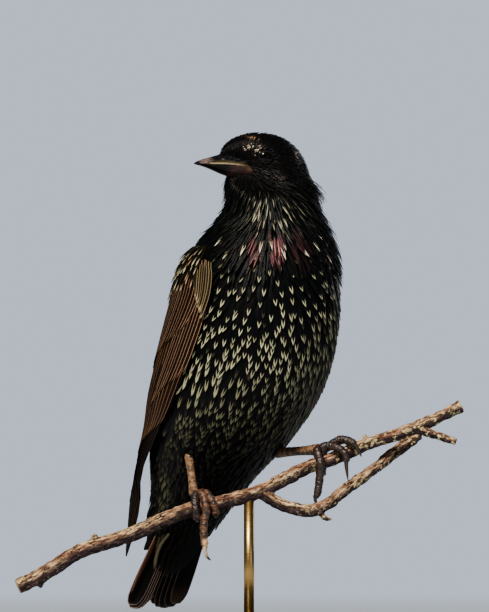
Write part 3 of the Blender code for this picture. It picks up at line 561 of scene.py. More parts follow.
def lie_of_coat(points, normals):
    """The way feathers point: back from the bill over the head, then down to the tail."""
    height = points[:, 2] / MM
    from_bill = unit(points - BILL_BASE)
    sideways = abs((points - SKULL) @ HEAD_LEFT)[:, None] / (12 * MM)
    from_bill = from_bill - UP * 0.45 * np.clip(sideways, 0, 1) * (height[:, None] < 193)
    lean = np.interp(height, LEAN_HEIGHTS, LEAN)
    fan = np.interp(height, LEAN_HEIGHTS, FAN) * (points[:, 0] / MM - 8.0) / 30.0
    breast = np.stack((fan - lean, np.full(len(points), 0.33), np.full(len(points), -0.9)), -1)
    behind = np.clip(0.5 + 1.2 * normals[:, 1:2], 0, 1)
    down = unit(breast) * (1 - behind) + TAIL_DIRECTION * behind
    blend = np.clip((188 - height[:, None]) / 12, 0, 1)
    return square_to(unit(from_bill) * (1 - blend) + down * blend, normals)


def lay(roots, length, stations, lift, sway):
    """Walks each shaft over the coat from its root. lift is its height off the coat at root and
    tip, sway its turn from the lie of the coat in radians."""
    points, normals = on_coat(roots)
    outward = normals
    lines, ups = [points], [outward]
    for start, end in zip(stations[:-1], stations[1:]):
        way = lie_of_coat(points, normals)
        side = np.cross(normals, way)
        way = way * np.cos(sway)[:, None] + side * np.sin(sway)[:, None]
        points, normals = on_coat(points + way * (length * (end - start))[:, None])
        outward = unit(outward * 0.4 + normals * 0.6)
        lines.append(points)
        ups.append(outward)
    lines, ups = np.stack(lines, 1), np.stack(ups, 1)
    part = np.array(stations)[None] ** 1.2
    height = lift[0][:, None] * (1 - part) + lift[1][:, None] * part
    return lines + ups * height[..., None], ups


# A patch's width and height as shares of the unwrap.
PATCH_SIZE = 0.003


def patch_places(height, angle):
    """Where each feather's small patch lies on the coat's unwrap: round by angle, up by height."""
    u = 0.01 + 0.98 * np.mod(angle, math.tau) / math.tau
    v = 0.01 + 0.98 * (height - SKIN_BOTTOM) / (SKIN_TOP - SKIN_BOTTOM)
    return in_rows(len(u), u, v, PATCH_SIZE, PATCH_SIZE)


def fading(*spans):
    """1 in the middle of a patch, fading out of it. A span is a distance from there and a reach."""
    return np.exp(-sum((off / reach) ** 2 for off, reach in spans))


# Plumage material
# Glossy black barbs: the keratin films give a green, blue or purple sheen that is stronger than
# the colour itself. A buff tip has no sheen. Barbs are drawn at 0.35 mm, coarser than real.
BARB = 0.35


def feather_material(name, dark, sheens, gloss, spot, edge):
    """Feathers of one sort. gloss is the metallic share and roughness; spot its fresh and worn
    colours, half its width in mm and how much of that a dim spot loses; edge its colour, its
    width in mm and whether only the outer web has it."""
    metallic, roughness = gloss
    spot_colour, old_colour, spot_half, narrowing = spot
    edge_colour, edge_width, outer_only = edge
    made, tree, shader = new_material(name, roughness, metallic)
    shader.inputs["Specular IOR Level"].default_value = 0.05
    read = []
    for stored in ("vane", "spot", "feather"):
        stored = add_node(tree, "Attribute", {}, "Vector", attribute_name=stored)
        read += add_node(tree, "SeparateXYZ", {0: stored}).node.outputs
    across, inside, from_tip, spot_long, paleness, warmth, chance, hue, wear = read
    # Barbs leave the shaft at a slant, so their lines run towards the tip on both webs.
    off = add_node(tree, "Math", {0: across}, operation="ABSOLUTE")
    slant = add_node(tree, "Math", {0: off, 1: -0.8, 2: from_tip}, operation="MULTIPLY_ADD")
    turns = add_node(tree, "Math", {0: slant, 1: math.tau / BARB}, operation="MULTIPLY")
    barb = add_node(tree, "Math", {0: turns}, operation="SINE")
    # The spot is a drop at the tip with a notch along the shaft at its upper end.
    notch = add_node(tree, "Math", {0: off, 1: 0.8 / spot_half, 2: 0.36}, operation="MULTIPLY_ADD")
    reach = add_node(tree, "Math", {0: spot_long, 1: notch}, operation="MULTIPLY")
    ragged = add_node(tree, "Math", {0: barb, 1: 0.12, 2: from_tip}, operation="MULTIPLY_ADD")
    near_tip = add_node(tree, "Math", {0: reach, 1: ragged}, operation="SUBTRACT")
    near_tip = add_node(tree, "Math", {0: near_tip, 1: 2.4}, operation="MULTIPLY", use_clamp=True)
    half = {0: paleness, 1: narrowing * spot_half, 2: (1 - narrowing) * spot_half}
    widest = add_node(tree, "Math", half, operation="MULTIPLY_ADD")
    tapered = add_node(tree, "Math", {0: from_tip, 1: 0.34, 2: 0.12}, operation="MULTIPLY_ADD")
    room = add_node(tree, "Math", {0: widest, 1: tapered}, operation="MINIMUM")
    by_shaft = add_node(tree, "Math", {0: room, 1: off}, operation="SUBTRACT")
    by_shaft = add_node(tree, "Math", {0: by_shaft, 1: 7.0}, operation="MULTIPLY", use_clamp=True)
    drop = near_tip
    for share in (by_shaft, paleness):
        drop = add_node(tree, "Math", {0: drop, 1: share}, operation="MULTIPLY")
    # The second sheen shows on the exposed end alone.
    end = add_node(tree, "MapRange", {0: from_tip, 1: 4.0, 2: 9.0, 3: 1.0, 4: 0.0})
    end = add_node(tree, "Math", {0: end, 1: hue}, operation="MULTIPLY")
    shade = add_node(tree, "Mix", {0: end, 6: sheens[0], 7: sheens[1]}, **RGBA)
    odd = add_node(tree, "Math", {0: chance, 1: 0.6}, operation="MULTIPLY")
    shade = add_node(tree, "Mix", {0: odd, 6: shade, 7: sheens[2]}, **RGBA)
    dull = add_node(tree, "Math", {0: barb, 1: 0.22, 2: 0.32}, operation="MULTIPLY_ADD")
    base = add_node(tree, "Mix", {0: dull, 6: shade, 7: dark}, **RGBA)
    margin = add_node(tree, "Math", {0: inside, 1: from_tip}, operation="MINIMUM")
    rim = add_node(tree, "Math", {0: edge_width, 1: margin}, operation="SUBTRACT")
    rim = add_node(tree, "Math", {0: rim, 1: 2 / edge_width}, operation="MULTIPLY", use_clamp=True)
    shares = [wear]
    if outer_only:
        # The narrow edge of a flight feather wears away over its last three millimetres.
        shares.append(add_node(tree, "Math", {0: across, 1: 0.0}, operation="GREATER_THAN"))
        worn = {0: from_tip, 1: 0.3}
        shares.append(add_node(tree, "Math", worn, operation="MULTIPLY", use_clamp=True))
    for share in shares:
        rim = add_node(tree, "Math", {0: rim, 1: share}, operation="MULTIPLY")
    base = add_node(tree, "Mix", {0: rim, 6: base, 7: edge_colour}, **RGBA)
    cream = add_node(tree, "Mix", {0: warmth, 6: spot_colour, 7: old_colour}, **RGBA)
    colour = add_node(tree, "Mix", {0: drop, 6: base, 7: cream}, **RGBA)
    tree.links.new(colour, shader.inputs["Base Color"])
    pale = add_node(tree, "Math", {0: drop, 1: rim}, operation="MAXIMUM")
    bare = add_node(tree, "Math", {0: 1.0, 1: pale}, operation="SUBTRACT", use_clamp=True)
    shine = add_node(tree, "Math", {0: bare, 1: metallic}, operation="MULTIPLY")
    tree.links.new(shine, shader.inputs["Metallic"])
    rough = add_node(tree, "Math", {0: barb, 1: 0.05, 2: roughness}, operation="MULTIPLY_ADD")
    rough = add_node(tree, "Math", {0: pale, 1: 0.3, 2: rough}, operation="MULTIPLY_ADD")
    tree.links.new(rough, shader.inputs["Roughness"])
    bump = add_node(tree, "Bump", {"Height": barb, "Strength": 0.25, "Distance": 0.05 * MM})
    tree.links.new(bump, shader.inputs["Normal"])
    return made


PLUMAGE = feather_material(
    "glossy_black_feather", "#030304", ("#080e0c", "#170d12", "#080a10"), (0.30, 0.30),
    ("#c3c49d", "#5c5e44", 0.76, 0.35), ("#3c3b28", 0.4, False),
)
HACKLE = feather_material(
    "loose_glossy_hackle", "#040405", ("#0a100e", "#865258", "#0c0e14"), (0.50, 0.32),
    ("#ded8ba", "#96683c", 0.66, 0.85), ("#2c2c20", 0.2, False),
)

draw = np.random.default_rng(11)

# Where the folded wing's edges lie over the body: height in millimetres, lower and upper edge in
# degrees from the bird's right towards its front.
WING_ON_BODY = (
    (86.0, 9.0, -82.0),
    (100.0, 15.0, -83.0),
    (118.0, 17.0, -81.0),
    (137.0, 18.0, -76.0),
    (150.0, 10.0, -70.0),
    (157.0, 0.0, -64.0),
)


def under_wing(height, angle, margin):
    """True where a folded wing covers the body, by more than a margin in degrees."""
    rows = np.array(WING_ON_BODY)
    low = np.interp(height, rows[:, 0], rows[:, 1])
    high = np.interp(height, rows[:, 0], rows[:, 2])
    right = (np.degrees(angle) + 180) % 360 - 180
    left = (180 - np.degrees(angle) + 180) % 360 - 180
    covered = np.zeros(len(height), bool)
    for at in (right, left):
        covered |= (at < low - margin) & (at > high + margin)
    return covered & (height > 84) & (height < 157 - margin * 0.4)


# Breast, belly and back
# Broad lanceolate feathers whose small cream points stand in rough rows; the points grow to
# streaks on the lower flanks and fade to a dim olive on the belly and under the tail.
def body_coat():
    height, angle = scattered(draw, 39.5, 166.0, 60000)
    points, normals = outside(height, angle)
    low_flank = fading((height - 111, 9)) * np.clip(-(points[:, 0] / MM - 8) / 14, 0, 1)
    low_flank *= normals[:, 1] < 0
    rows = (40, 70, 95, 125, 145, 155, 166)
    spacing = np.interp(height, rows, (2.3, 2.2, 2.05, 2.3, 3.0, 3.3, 2.7))
    keep = spaced(points, (spacing + 1.6 * low_flank) * MM)
    keep = keep[~under_wing(height[keep], angle[keep], 9.0)]
    height, angle, points, low_flank = height[keep], angle[keep], points[keep], low_flank[keep]
    count = len(height)
    front = np.sin(angle)
    rows = (40, 60, 100, 150, 166)
    length = np.interp(height, rows, (9.0, 12.0, 13.0, 12.0, 11.0)) * MM
    length *= draw.uniform(0.94, 1.06, count)
    half = np.interp(height, rows, (1.9, 2.2, 2.4, 2.3, 1.5)) * MM
    half *= draw.uniform(0.9, 1.1, count)
    stations = (0.0, 0.22, 0.44, 0.62, 0.76, 0.87, 0.95, 1.0)
    facing = np.clip(-normals[keep, 1], 0, 1)
    lift = (np.full(count, -1.2 * MM), draw.uniform(0.3, 0.6, count) * (0.4 + 0.6 * facing) * MM)
    shafts, ups = lay(points, length, stations, lift, draw.normal(0, 0.08, count))
    # Feathers that run out of coat to lie on, or would stand off the rump's corner, aren't made.
    ended = np.linalg.norm(shafts[:, -1] - shafts[:, -3], axis=1) < 0.08 * length
    rump_corner = (shafts[:, -1, 0] < -35.5 * MM) & (shafts[:, -1, 2] < 46 * MM)
    shown = ~(ended | rump_corner)
    widths = half[:, None] * body_feather_shape(np.array(stations))[None]
    tip = shafts[:, -1] / MM
    tip_height = tip[:, 2]
    left_side = np.clip((tip[:, 0] - 15) / 12, 0, 1) * (tip_height < 128)
    spot = np.interp(tip_height, (45, 80, 100, 120, 140), (2.6, 3.2, 3.2, 3.0, 2.7)) + 3.2 * low_flank
    vent = fading((tip[:, 0] + 33, 3.5), (tip_height - 61, 10)) * (front >= 0)
    spot = (spot + 1.0 * left_side + 3.5 * vent) * draw.uniform(0.8, 1.25, count)
    pale = np.interp(tip_height, (58, 70, 84, 108, 143, 150), (0.08, 0.26, 0.55, 1.0, 1.0, 0.12))
    pale = np.maximum(np.maximum(pale, low_flank), 0.8 * vent)
    pale *= draw.uniform(0.55, 1.0, count) * np.where(draw.random(count) < 0.12, 0.1, 1.0)
    warm = np.interp(tip_height, (75, 92, 112), (0.95, 0.6, 0.03)) + draw.uniform(0, 0.2, count)
    warm = warm + 0.45 * left_side
    back = np.clip(-front * 3, 0, 1)
    pale = pale * (1 - back) + draw.uniform(0.35, 0.8, count) * back
    spot = spot * (1 - back) + 1.8 * back
    warm = np.clip(warm + 0.45 * back, 0, 1)
    purple = fading((tip_height - 152, 6), (tip[:, 0] - 13, 16))
    hue = np.clip(0.3 + draw.normal(0, 0.2, count) + purple, 0, 1)
    fringe = np.interp(tip_height, (60, 75, 95, 108), (0.10, 0.16, 0.14, 0.0)) * draw.random(count)
    look = in_rows(count, spot, pale, warm, draw.random(count), hue, fringe)
    uv = patch_places(height, angle)
    for name, part in (("coat_front", shown & (front >= 0)), ("coat_back", shown & (front < 0))):
        vanes(name, shafts[part], ups[part], widths[part], PLUMAGE, look[part], uv[part])


body_coat()

# Throat and neck hackles
# Long narrow feathers, loose at their tips, that radiate down from the cheeks over the upper
# breast. Thin grey-olive streaks down the throat's middle are painted glints; a few end in a cream drop.
# A small tuft stands off the nape, at this angle and height in millimetres.
NAPE_TUFT = (math.radians(166), 183.5)


def neck_hackles():
    height, angle = scattered(draw, 153.0, 185.0, 32000)
    points, _ = outside(height, angle)
    keep = spaced(points, np.interp(height, (153, 165, 185), (2.1, 1.5, 1.0)) * MM)
    height, angle, points = height[keep], angle[keep], points[keep]
    count = len(height)
    length = np.interp(height, (153, 168, 178, 185), (12.0, 14.0, 11.0, 5.5)) * MM
    length *= draw.uniform(0.8, 1.2, count)
    turn = np.mod(angle - NAPE_TUFT[0] + math.pi, math.tau) - math.pi
    tuft = fading((turn, math.radians(19)), (height - NAPE_TUFT[1], 2.6))
    length = np.maximum(length, 11.0 * MM * np.sqrt(tuft))
    half = np.interp(height, (155, 172, 185), (0.95, 0.62, 0.38)) * MM
    half *= draw.uniform(0.8, 1.2, count)
    stations = (0.0, 0.2, 0.4, 0.58, 0.74, 0.88, 1.0)
    back = np.sin(angle) < -0.35
    loose = np.where(back, draw.uniform(0.2, 0.9, count), draw.uniform(0.4, 1.7, count))
    lift = (np.full(count, -0.9 * MM), (loose + 4.2 * tuft) * MM)
    shafts, ups = lay(points, length, stations, lift, draw.normal(0, 0.11, count))
    widths = half[:, None] * hackle_shape(np.array(stations))[None]
    tip = shafts[:, -1] / MM
    across, level = tip[:, 0] - 12.0, tip[:, 2]
    front = tip[:, 1] < 8.0
    # Painted highlight: pale streaks down the middle of the throat stand for glints on the hackles.
    painted_throat_glint = fading((across, 13), (level - 167, 8.0)) * front
    pale = 0.02 + 0.55 * painted_throat_glint * draw.random(count) ** 1.7
    spot = draw.uniform(6.0, 12.0, count)
    warm = draw.uniform(0.0, 0.16, count)
    near_drops = fading((level - 154, 5.5)) * (abs(across) < 24)
    drops = front & (draw.random(count) < 0.13 * near_drops)
    pale = np.where(drops, 1.0, pale)
    spot = np.where(drops, draw.uniform(3.2, 5.5, count), spot)
    widths = np.where(drops[:, None], widths * 1.25, widths)
    warm = np.where(drops, 0.0, warm)
    tipped = back & (draw.random(count) < 0.6)
    pale = np.where(tipped, draw.uniform(0.3, 0.7, count), pale)
    spot = np.where(tipped, 1.1, spot)
    purple = fading((level - 152, 5.0), (across, 13)) * front
    purple *= 0.45 + 0.55 * np.cos((across - 1) * math.tau / 11)
    hue = np.clip(purple * draw.uniform(0.3, 1.2, count), 0, 1)
    look = in_rows(count, spot, pale, warm, draw.random(count) * (1 - purple), hue, 0.0)
    uv = patch_places(height, angle)
    vanes("hackles", shafts, ups, widths, HACKLE, look, uv, NARROW_COLUMNS, camber=0.35)


neck_hackles()

# Head
# Very short close feathers, smallest at the bill and round the eyes, with grey-olive hairs on
# the cheek, a patch of cream specks before and over the eye that are painted glints, and a plain dark
# crown.
# From the back of the head to the bill, in millimetres ahead of the skull's middle.
HEAD_STATIONS = (-20, -5, 8, 18)


def head_coat():
    height, angle = scattered(draw, 178.5, 201.58, 80000)
    points, _ = outside(height, angle)
    ahead = (points - SKULL) @ AHEAD / MM
    spacing = np.interp(ahead, HEAD_STATIONS, (1.2, 0.92, 0.72, 0.58))
    keep = spaced(points, spacing * MM)
    height, angle, points, ahead = height[keep], angle[keep], points[keep], ahead[keep]
    clear = np.ones(len(points), bool)
    for middle, _ in EYES.values():
        clear &= np.linalg.norm(points - middle, axis=1) > EYE_RADIUS - 0.1 * MM
    height, angle, points, ahead = height[clear], angle[clear], points[clear], ahead[clear]
    count = len(height)
    length = np.interp(ahead, HEAD_STATIONS, (5.0, 3.6, 2.3, 1.5)) * MM
    length *= draw.uniform(0.85, 1.15, count)
    way = lie_of_coat(points, on_coat(points)[1])
    # A feather that points at an eye stops short of its lids.
    for middle, looks in EYES.values():
        to_eye = middle - points
        flat = to_eye - looks * (to_eye @ looks)[:, None]
        far = np.linalg.norm(flat, axis=1)
        aimed = (np.sum(unit(flat) * way, axis=1) > 0.3) & (to_eye @ looks < 2 * MM)
        room = np.maximum(far - 2.35 * MM, 0.5 * MM)
        length = np.where(aimed & (far < 9 * MM), np.minimum(length, room), length)
    half = np.clip(length * 0.17, 0.22 * MM, 0.55 * MM)
    over_eye = height - EYE_HEIGHT
    # Painted highlight: cream specks before and over the eye stand for glints of light on its feathers.
    painted_brow_glint = fading((ahead - 11.0, 3.0), (over_eye - 2.4, 1.7))
    rust = fading((ahead - 9.2, 1.9), (over_eye - 6.9, 1.1))
    behind = fading((ahead + 8.0, 2.2), (over_eye - 1.6, 2.2))
    half *= 1 + 1.9 * painted_brow_glint + 1.4 * rust + 1.2 * behind
    stations = (0.0, 0.35, 0.65, 0.86, 1.0)
    lift = (np.full(count, -0.5 * MM), draw.uniform(0.05, 0.35, count) * MM)
    shafts, ups = lay(points, length, stations, lift, draw.normal(0, 0.12, count))
    widths = half[:, None] * body_feather_shape(np.array(stations))[None]
    cheek = fading((ahead - 1.0, 8.0), (height - 184.0, 4.0))
    pale = 0.01 + 3.0 * painted_brow_glint * (draw.random(count) < 0.42) + 0.4 * cheek * draw.random(count) ** 1.5
    pale = pale + 0.9 * rust * (draw.random(count) < 0.6) + 1.4 * behind * (draw.random(count) < 0.8)
    pale = np.clip(pale, 0, 1)
    spot = 0.3 + 1.9 * painted_brow_glint + 1.5 * rust + 1.8 * behind + 1.4 * cheek * draw.random(count)
    warm = 0.30 - 0.25 * painted_brow_glint + 0.6 * rust + 0.3 * behind + 0.5 * draw.random(count) * painted_brow_glint
    warm = np.clip(warm, 0, 1)
    look = in_rows(count, spot, pale, warm, draw.random(count), 0.02, 0.0)
    vanes(
        "head_feathers", shafts, ups, widths, HACKLE, look, patch_places(height, angle),
        NARROW_COLUMNS, camber=0.3, thick=0.08 * MM,
    )


head_coat()

# Folded wings
# Long stiff flight feathers lie one over the next like a closed fan, brown black with a narrow
# buff outer edge. Shorter coverts tile their roots in tiers, each edged in buff.
WING_LIFT = 0.5 * MM
WING_TILT = -0.17
WING_TOP = 157.0
# Farther along a feather the stations are closer, to round its tip.
WING_STATIONS = np.concatenate((np.linspace(0, 0.85, 10), (0.92, 0.97, 1.0)))
# The left primaries end this much higher in millimetres, so that they don't show past the body.
LEFT_PRIMARIES_RAISED = 10.0
# The wing's point stands free below the rump: height, then forward and right of its lower
# edge, middle and upper edge, in millimetres.
WING_FREE = (
    (34.5, -58.2, 18.2, -58.6, 18.3, -59.0, 18.2),
    (43.0, -52.0, 18.9, -54.5, 19.8, -57.0, 18.8),
    (58.7, -43.5, 20.6, -48.0, 21.8, -52.5, 20.2),
    (70.0, -33.5, 24.6, -43.8, 22.8, -51.8, 13.5),
)


def wing_stations():
    """Both wing tables as one: height, then forward and right of lower edge, middle, upper edge."""
    rows = list(WING_FREE)
    for height, low, high in WING_ON_BODY:
        row = [height]
        for angle in (low, (low + high) / 2, high):
            at, normal = outside(height, math.radians(angle))
            offset = at + normal * WING_LIFT - BODY_AXIS
            row += [offset @ FORWARD / MM, offset @ RIGHT / MM]
        rows.append(row)
    return rows


WING_ROWS = wing_stations()


def wing_flat(height, across):
    """Points on the folded right wing, on the curve through its lower edge, middle and upper edge."""
    values = smooth_table(WING_ROWS, height)
    low, mid, high = values[..., 1:3], values[..., 3:5], values[..., 5:7]
    u = across[..., None]
    put = low * (1 - u) * (1 - 2 * u) + mid * 4 * u * (1 - u) + high * u * (2 * u - 1)
    return bird(put[..., 0] * MM, put[..., 1] * MM, height * MM)


def wing_place(height, across, lift):
    """Points over the folded right wing and normals there; across is 0 at its lower edge."""
    height, across = np.broadcast_arrays(np.asarray(height, float), np.asarray(across, float))
    rise = wing_flat(height + 0.5, across) - wing_flat(height - 0.5, across)
    over = wing_flat(height, across + 0.03) - wing_flat(height, across - 0.03)
    normal = unit(np.cross(rise, over))
    facing_out = normal @ (RIGHT - 0.3 * FORWARD)
    normal = np.where(facing_out[..., None] < 0, -normal, normal)
    return wing_flat(height, across) + normal * np.asarray(lift)[..., None], normal


def mirrored(vectors, middle=BODY_AXIS):
    """Points or directions mirrored across the bird's middle plane."""
    return vectors - RIGHT * (2 * ((vectors - middle) @ RIGHT))[..., None]


FLIGHT = feather_material(
    "brown_black_flight_feather", "#0a0705", ("#1a110b", "#20150d", "#0c0908"), (0.10, 0.42),
    ("#7a583a", "#7a583a", 1.2, 0.5), ("#9c704c", 0.26, True),
)
PRIMARY = feather_material(
    "black_brown_primary_feather", "#040303", ("#090706", "#0c0907", "#060505"), (0.15, 0.40),
    ("#7a583a", "#7a583a", 1.2, 0.5), ("#6b4e3a", 0.26, True),
)
COVERT = feather_material(
    "brown_covert_feather", "#0c0704", ("#1d120b", "#25180e", "#0f0906"), (0.10, 0.42),
    ("#a88257", "#a88257", 0.8, 0.5), ("#b08a6e", 0.24, True),
)
ALULA = feather_material(
    "olive_brown_wrist_feather", "#0e0b07", ("#1f1a11", "#1a130b", "#30281b"), (0.05, 0.5),
    ("#b3a67c", "#9a8a60", 1.3, 0.4), ("#a08e68", 0.30, False),
)
SHOULDER = feather_material(
    "glossy_shoulder_feather", "#060606", ("#101c14", "#1f1513", "#19150d"), (0.45, 0.32),
    ("#d6d0ae", "#b07a4c", 0.58, 0.5), ("#6f6544", 0.24, False),
)


def flight_shape(part):
    """Half width of a long flight feather: even, then narrowing to a rounded point."""
    fall = np.clip((part - 0.62) / 0.38, 0, 1)
    return (0.7 + 0.3 * np.clip(part / 0.4, 0, 1)) * (1 - 0.95 * fall**2.2) ** 0.7


def wrist_shape(part):
    """Half width of a wrist feather: broad near its root and tapering to its tip."""
    return np.clip(part / 0.15, 0.6, 1) * (1 - 0.72 * np.clip((part - 0.3) / 0.7, 0, 1) ** 1.3)


# Tier, how many, heights of the first and last root and of the tips, where the first and last
# root and the tips lie across the wing, lift at root and tip, half width in millimetres, its
# outline, finish, buff spot, and how strong its pale edge is.
WING_TIERS = (
    ("primaries", 9, (108, 103), (35.6, 65), (0.12, 0.42), (0.42, 0.84),
     (0.5, 0.4), 2.9, flight_shape, PRIMARY, 0.0, 0.28),
    ("secondaries", 17, (128, 121), (88, 70), (0.05, 0.76), (0.13, 0.82),
     (0.7, 1.1), 2.0, flight_shape, FLIGHT, 0.0, 1.0),
    ("tertials", 4, (130, 122), (88, 76), (0.84, 0.96), (0.86, 0.96),
     (0.9, 1.5), 2.2, blunt_shape, FLIGHT, 0.0, 0.8),
    ("primary_coverts", 9, (138, 131), (108, 96), (0.01, 0.24), (0.05, 0.33),
     (0.7, 1.3), 1.4, flight_shape, COVERT, 0.0, 0.9),
    ("greater_coverts", 23, (152, 146), (126, 96), (0.05, 0.98), (0.15, 1.0),
     (0.8, 1.5), 1.7, flight_shape, COVERT, 0.0, 1.0),
    ("median_coverts", 12, (156, 151), (142, 134), (0.12, 0.86), (0.16, 0.84),
     (0.8, 2.4), 1.7, body_feather_shape, SHOULDER, 4.0, 0.35),
    ("alula", 7, (151, 153), (130, 138), (-0.02, 0.16), (0.0, 0.075),
     (0.3, 2.7), 1.7, wrist_shape, ALULA, 3.0, 0.7),
    ("lesser_coverts_3", 15, (156, 154), (146, 141), (0.08, 0.88), (0.12, 0.87),
     (0.7, 2.7), 1.5, body_feather_shape, SHOULDER, 4.0, 0.3),
    ("lesser_coverts_2", 14, (157, 155.5), (149.5, 145), (0.06, 0.90), (0.10, 0.89),
     (0.5, 2.8), 1.5, body_feather_shape, SHOULDER, 3.8, 0.3),
    ("lesser_coverts_1", 12, (158, 157), (153, 149.5), (0.06, 0.90), (0.08, 0.90),
     (0.3, 2.8), 1.4, body_feather_shape, SHOULDER, 3.4, 0.3),
    ("scapulars_2", 6, (148, 138), (130, 108), (0.82, 0.97), (0.84, 0.95),
     (0.9, 2.9), 3.2, blunt_shape, SHOULDER, 1.0, 0.8),
    ("scapulars_1", 7, (156, 150), (140, 124), (0.68, 0.98), (0.70, 0.96),
     (0.9, 3.1), 2.8, body_feather_shape, SHOULDER, 2.0, 0.6),
)
VANE_COLUMNS = (-1.0, -0.72, -0.36, 0.0, 0.36, 0.72, 1.0)


def spread_over(pair, count):
    """A column of a tier's values, in even steps from the first of a pair to the second."""
    return (pair[0] + (pair[1] - pair[0]) * (np.arange(count) / (count - 1)))[:, None]


def make_wing(side):
    left = side == "left"
    seed = np.random.default_rng(23)
    for tier, count, roots, tips, start, end, lift, half, shape, finish, spot, wear in WING_TIERS:
        root, tip = spread_over(roots, count), spread_over(tips, count)
        tip = tip + seed.uniform(-1, 1, (count, 1)) * (1.8 if finish is SHOULDER else 0.6)
        tip = tip + (LEFT_PRIMARIES_RAISED if left and tier == "primaries" else 0.0)
        height = root + (tip - root) * WING_STATIONS
        start, end = spread_over(start, count), spread_over(end, count)
        across = start + (end - start) * WING_STATIONS
        across = across + seed.uniform(-0.006, 0.006, (count, 1)) * WING_STATIONS
        rise = lift[0] + (lift[1] - lift[0]) * WING_STATIONS
        rise = rise * (0.3 if left and tier == "alula" else 1.0)
        # Each feather lies a twentieth of a millimetre over the one before.
        line, normal = wing_place(height, across, (rise + 0.05 * np.arange(count)[:, None]) * MM)
        if left:
            line, normal = mirrored(line), mirrored(normal, 0.0 * BODY_AXIS)
        widths = half * MM * shape(WING_STATIONS)[None] * seed.uniform(0.95, 1.05, (count, 1))
        look = in_rows(
            count,
            spot * seed.uniform(0.7, 1.2, count),
            seed.uniform(0.55, 1.0, count),
            0.9 * seed.random(count) ** 2,
            seed.random(count),
            seed.random(count),
            wear * seed.uniform(0.5, 1.0, count),
        )
        patch_height = (root + tip)[:, 0] / 2 / 165
        patch_long = abs(root - tip)[:, 0] / 130
        uv = in_rows(count, (np.arange(count) + 0.5) / count, patch_height, 0.7 / count, patch_long)
        vanes(
            "wing_" + side + "_" + tier, line, normal, widths, finish, look, uv, VANE_COLUMNS,
            camber=0.10, tilt=-WING_TILT if left else WING_TILT, thick=0.16 * MM, shaft=0.06 * MM,
            outer=1 if left else -1,
        )
        if tier == "primaries":
            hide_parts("wing_" + side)


ARM_BOTTOM = 88.0
ARM_OUT, ARM_IN = 0.5 * MM, -0.3 * MM


def wing_shell(side):
    """The downy arm and hand that carry the feathers, all but hidden under them."""
    heights = np.linspace(WING_TOP - 0.8, ARM_BOTTOM, 26)
    edge = 0.05 + 0.22 * np.clip((105.0 - heights) / 17.0, 0, None) ** 2
    share = np.linspace(0, 1, 24)
    across = edge[:, None] + (0.96 - edge)[:, None] * share
    round_off = np.sqrt(np.clip(1 - (2 * share - 1) ** 4, 0.02, 1))
    ends = np.clip(np.minimum(heights - ARM_BOTTOM + 1.0, WING_TOP - heights) / 6, 0.1, 1.0)
    outer, _ = wing_place(heights[:, None], across, ARM_OUT * round_off * ends[:, None])
    inner, _ = wing_place(heights[:, None], across, np.full_like(across, ARM_IN))
    rings = np.concatenate((outer, inner[:, ::-1]), axis=1)
    if side == "left":
        rings = mirrored(rings)
    shell = loft("wing_" + side + "_arm", rings, DOWN)
    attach(shell, "root")


for side in ("right", "left"):
    make_wing(side)
    wing_shell(side)

# Tail
# Twelve square-ended feathers, the outer ones lowest, dark with pinkish-buff edges, and the
# soft pale-edged coverts that overlap their roots above and below.
TAIL_ROOT = (-34.5 * MM, 64.6 * MM)
TAIL_SWING = 0.02
TAIL_LENGTH = 59.5
TAIL_FAN = 0.25
TAIL_STEP = 1.8
TAIL_UNWRAP = 62 * MM
TAIL_UNDER = FORWARD * -TAIL_WAY[1] + UP * TAIL_WAY[0]
TAIL_STATIONS = np.concatenate((np.linspace(0, 0.85, 9), (0.92, 0.97, 1.0)))

TAIL_VANE = feather_material(
    "dark_tail_feather", "#070606", ("#0f0c0c", "#4a3628", "#0c0b0c"), (0.15, 0.40),
    ("#8a6a58", "#8a6a58", 1.4, 0.5), ("#c6a890", 0.46, False),
)
TAIL_EDGE = feather_material(
    "worn_red_brown_tail_edge", "#2e1a12", ("#5a3628", "#5a3628", "#4a2c20"), (0.05, 0.5),
    ("#8a6a58", "#8a6a58", 1.4, 0.5), ("#a07a66", 0.3, True),
)
TAIL_COVERT = feather_material(
    "buff_edged_tail_covert", "#050505", ("#0c100e", "#120e11", "#0b0c10"), (0.35, 0.40),
    ("#b8a884", "#8a7a54", 1.0, 0.5), ("#9a9070", 1.7, True),
)


def tail_place(along, across, below):
    """Points on the tail: along it from its root, towards the bird's right, and below, in metres."""
    forward = TAIL_ROOT[0] + TAIL_WAY[0] * along - TAIL_WAY[1] * below
    height = TAIL_ROOT[1] + TAIL_WAY[1] * along + TAIL_WAY[0] * below
    return bird(forward, across + TAIL_SWING * along, height)


def tail_shape(part):
    """Half width of a tail feather: widest near its square, slightly rounded end."""
    fall = np.clip((part - 0.86) / 0.14, 0, 1)
    return (0.66 + 0.34 * np.clip(part / 0.7, 0, 1)) * np.sqrt(1 - 0.80 * fall**2.5)


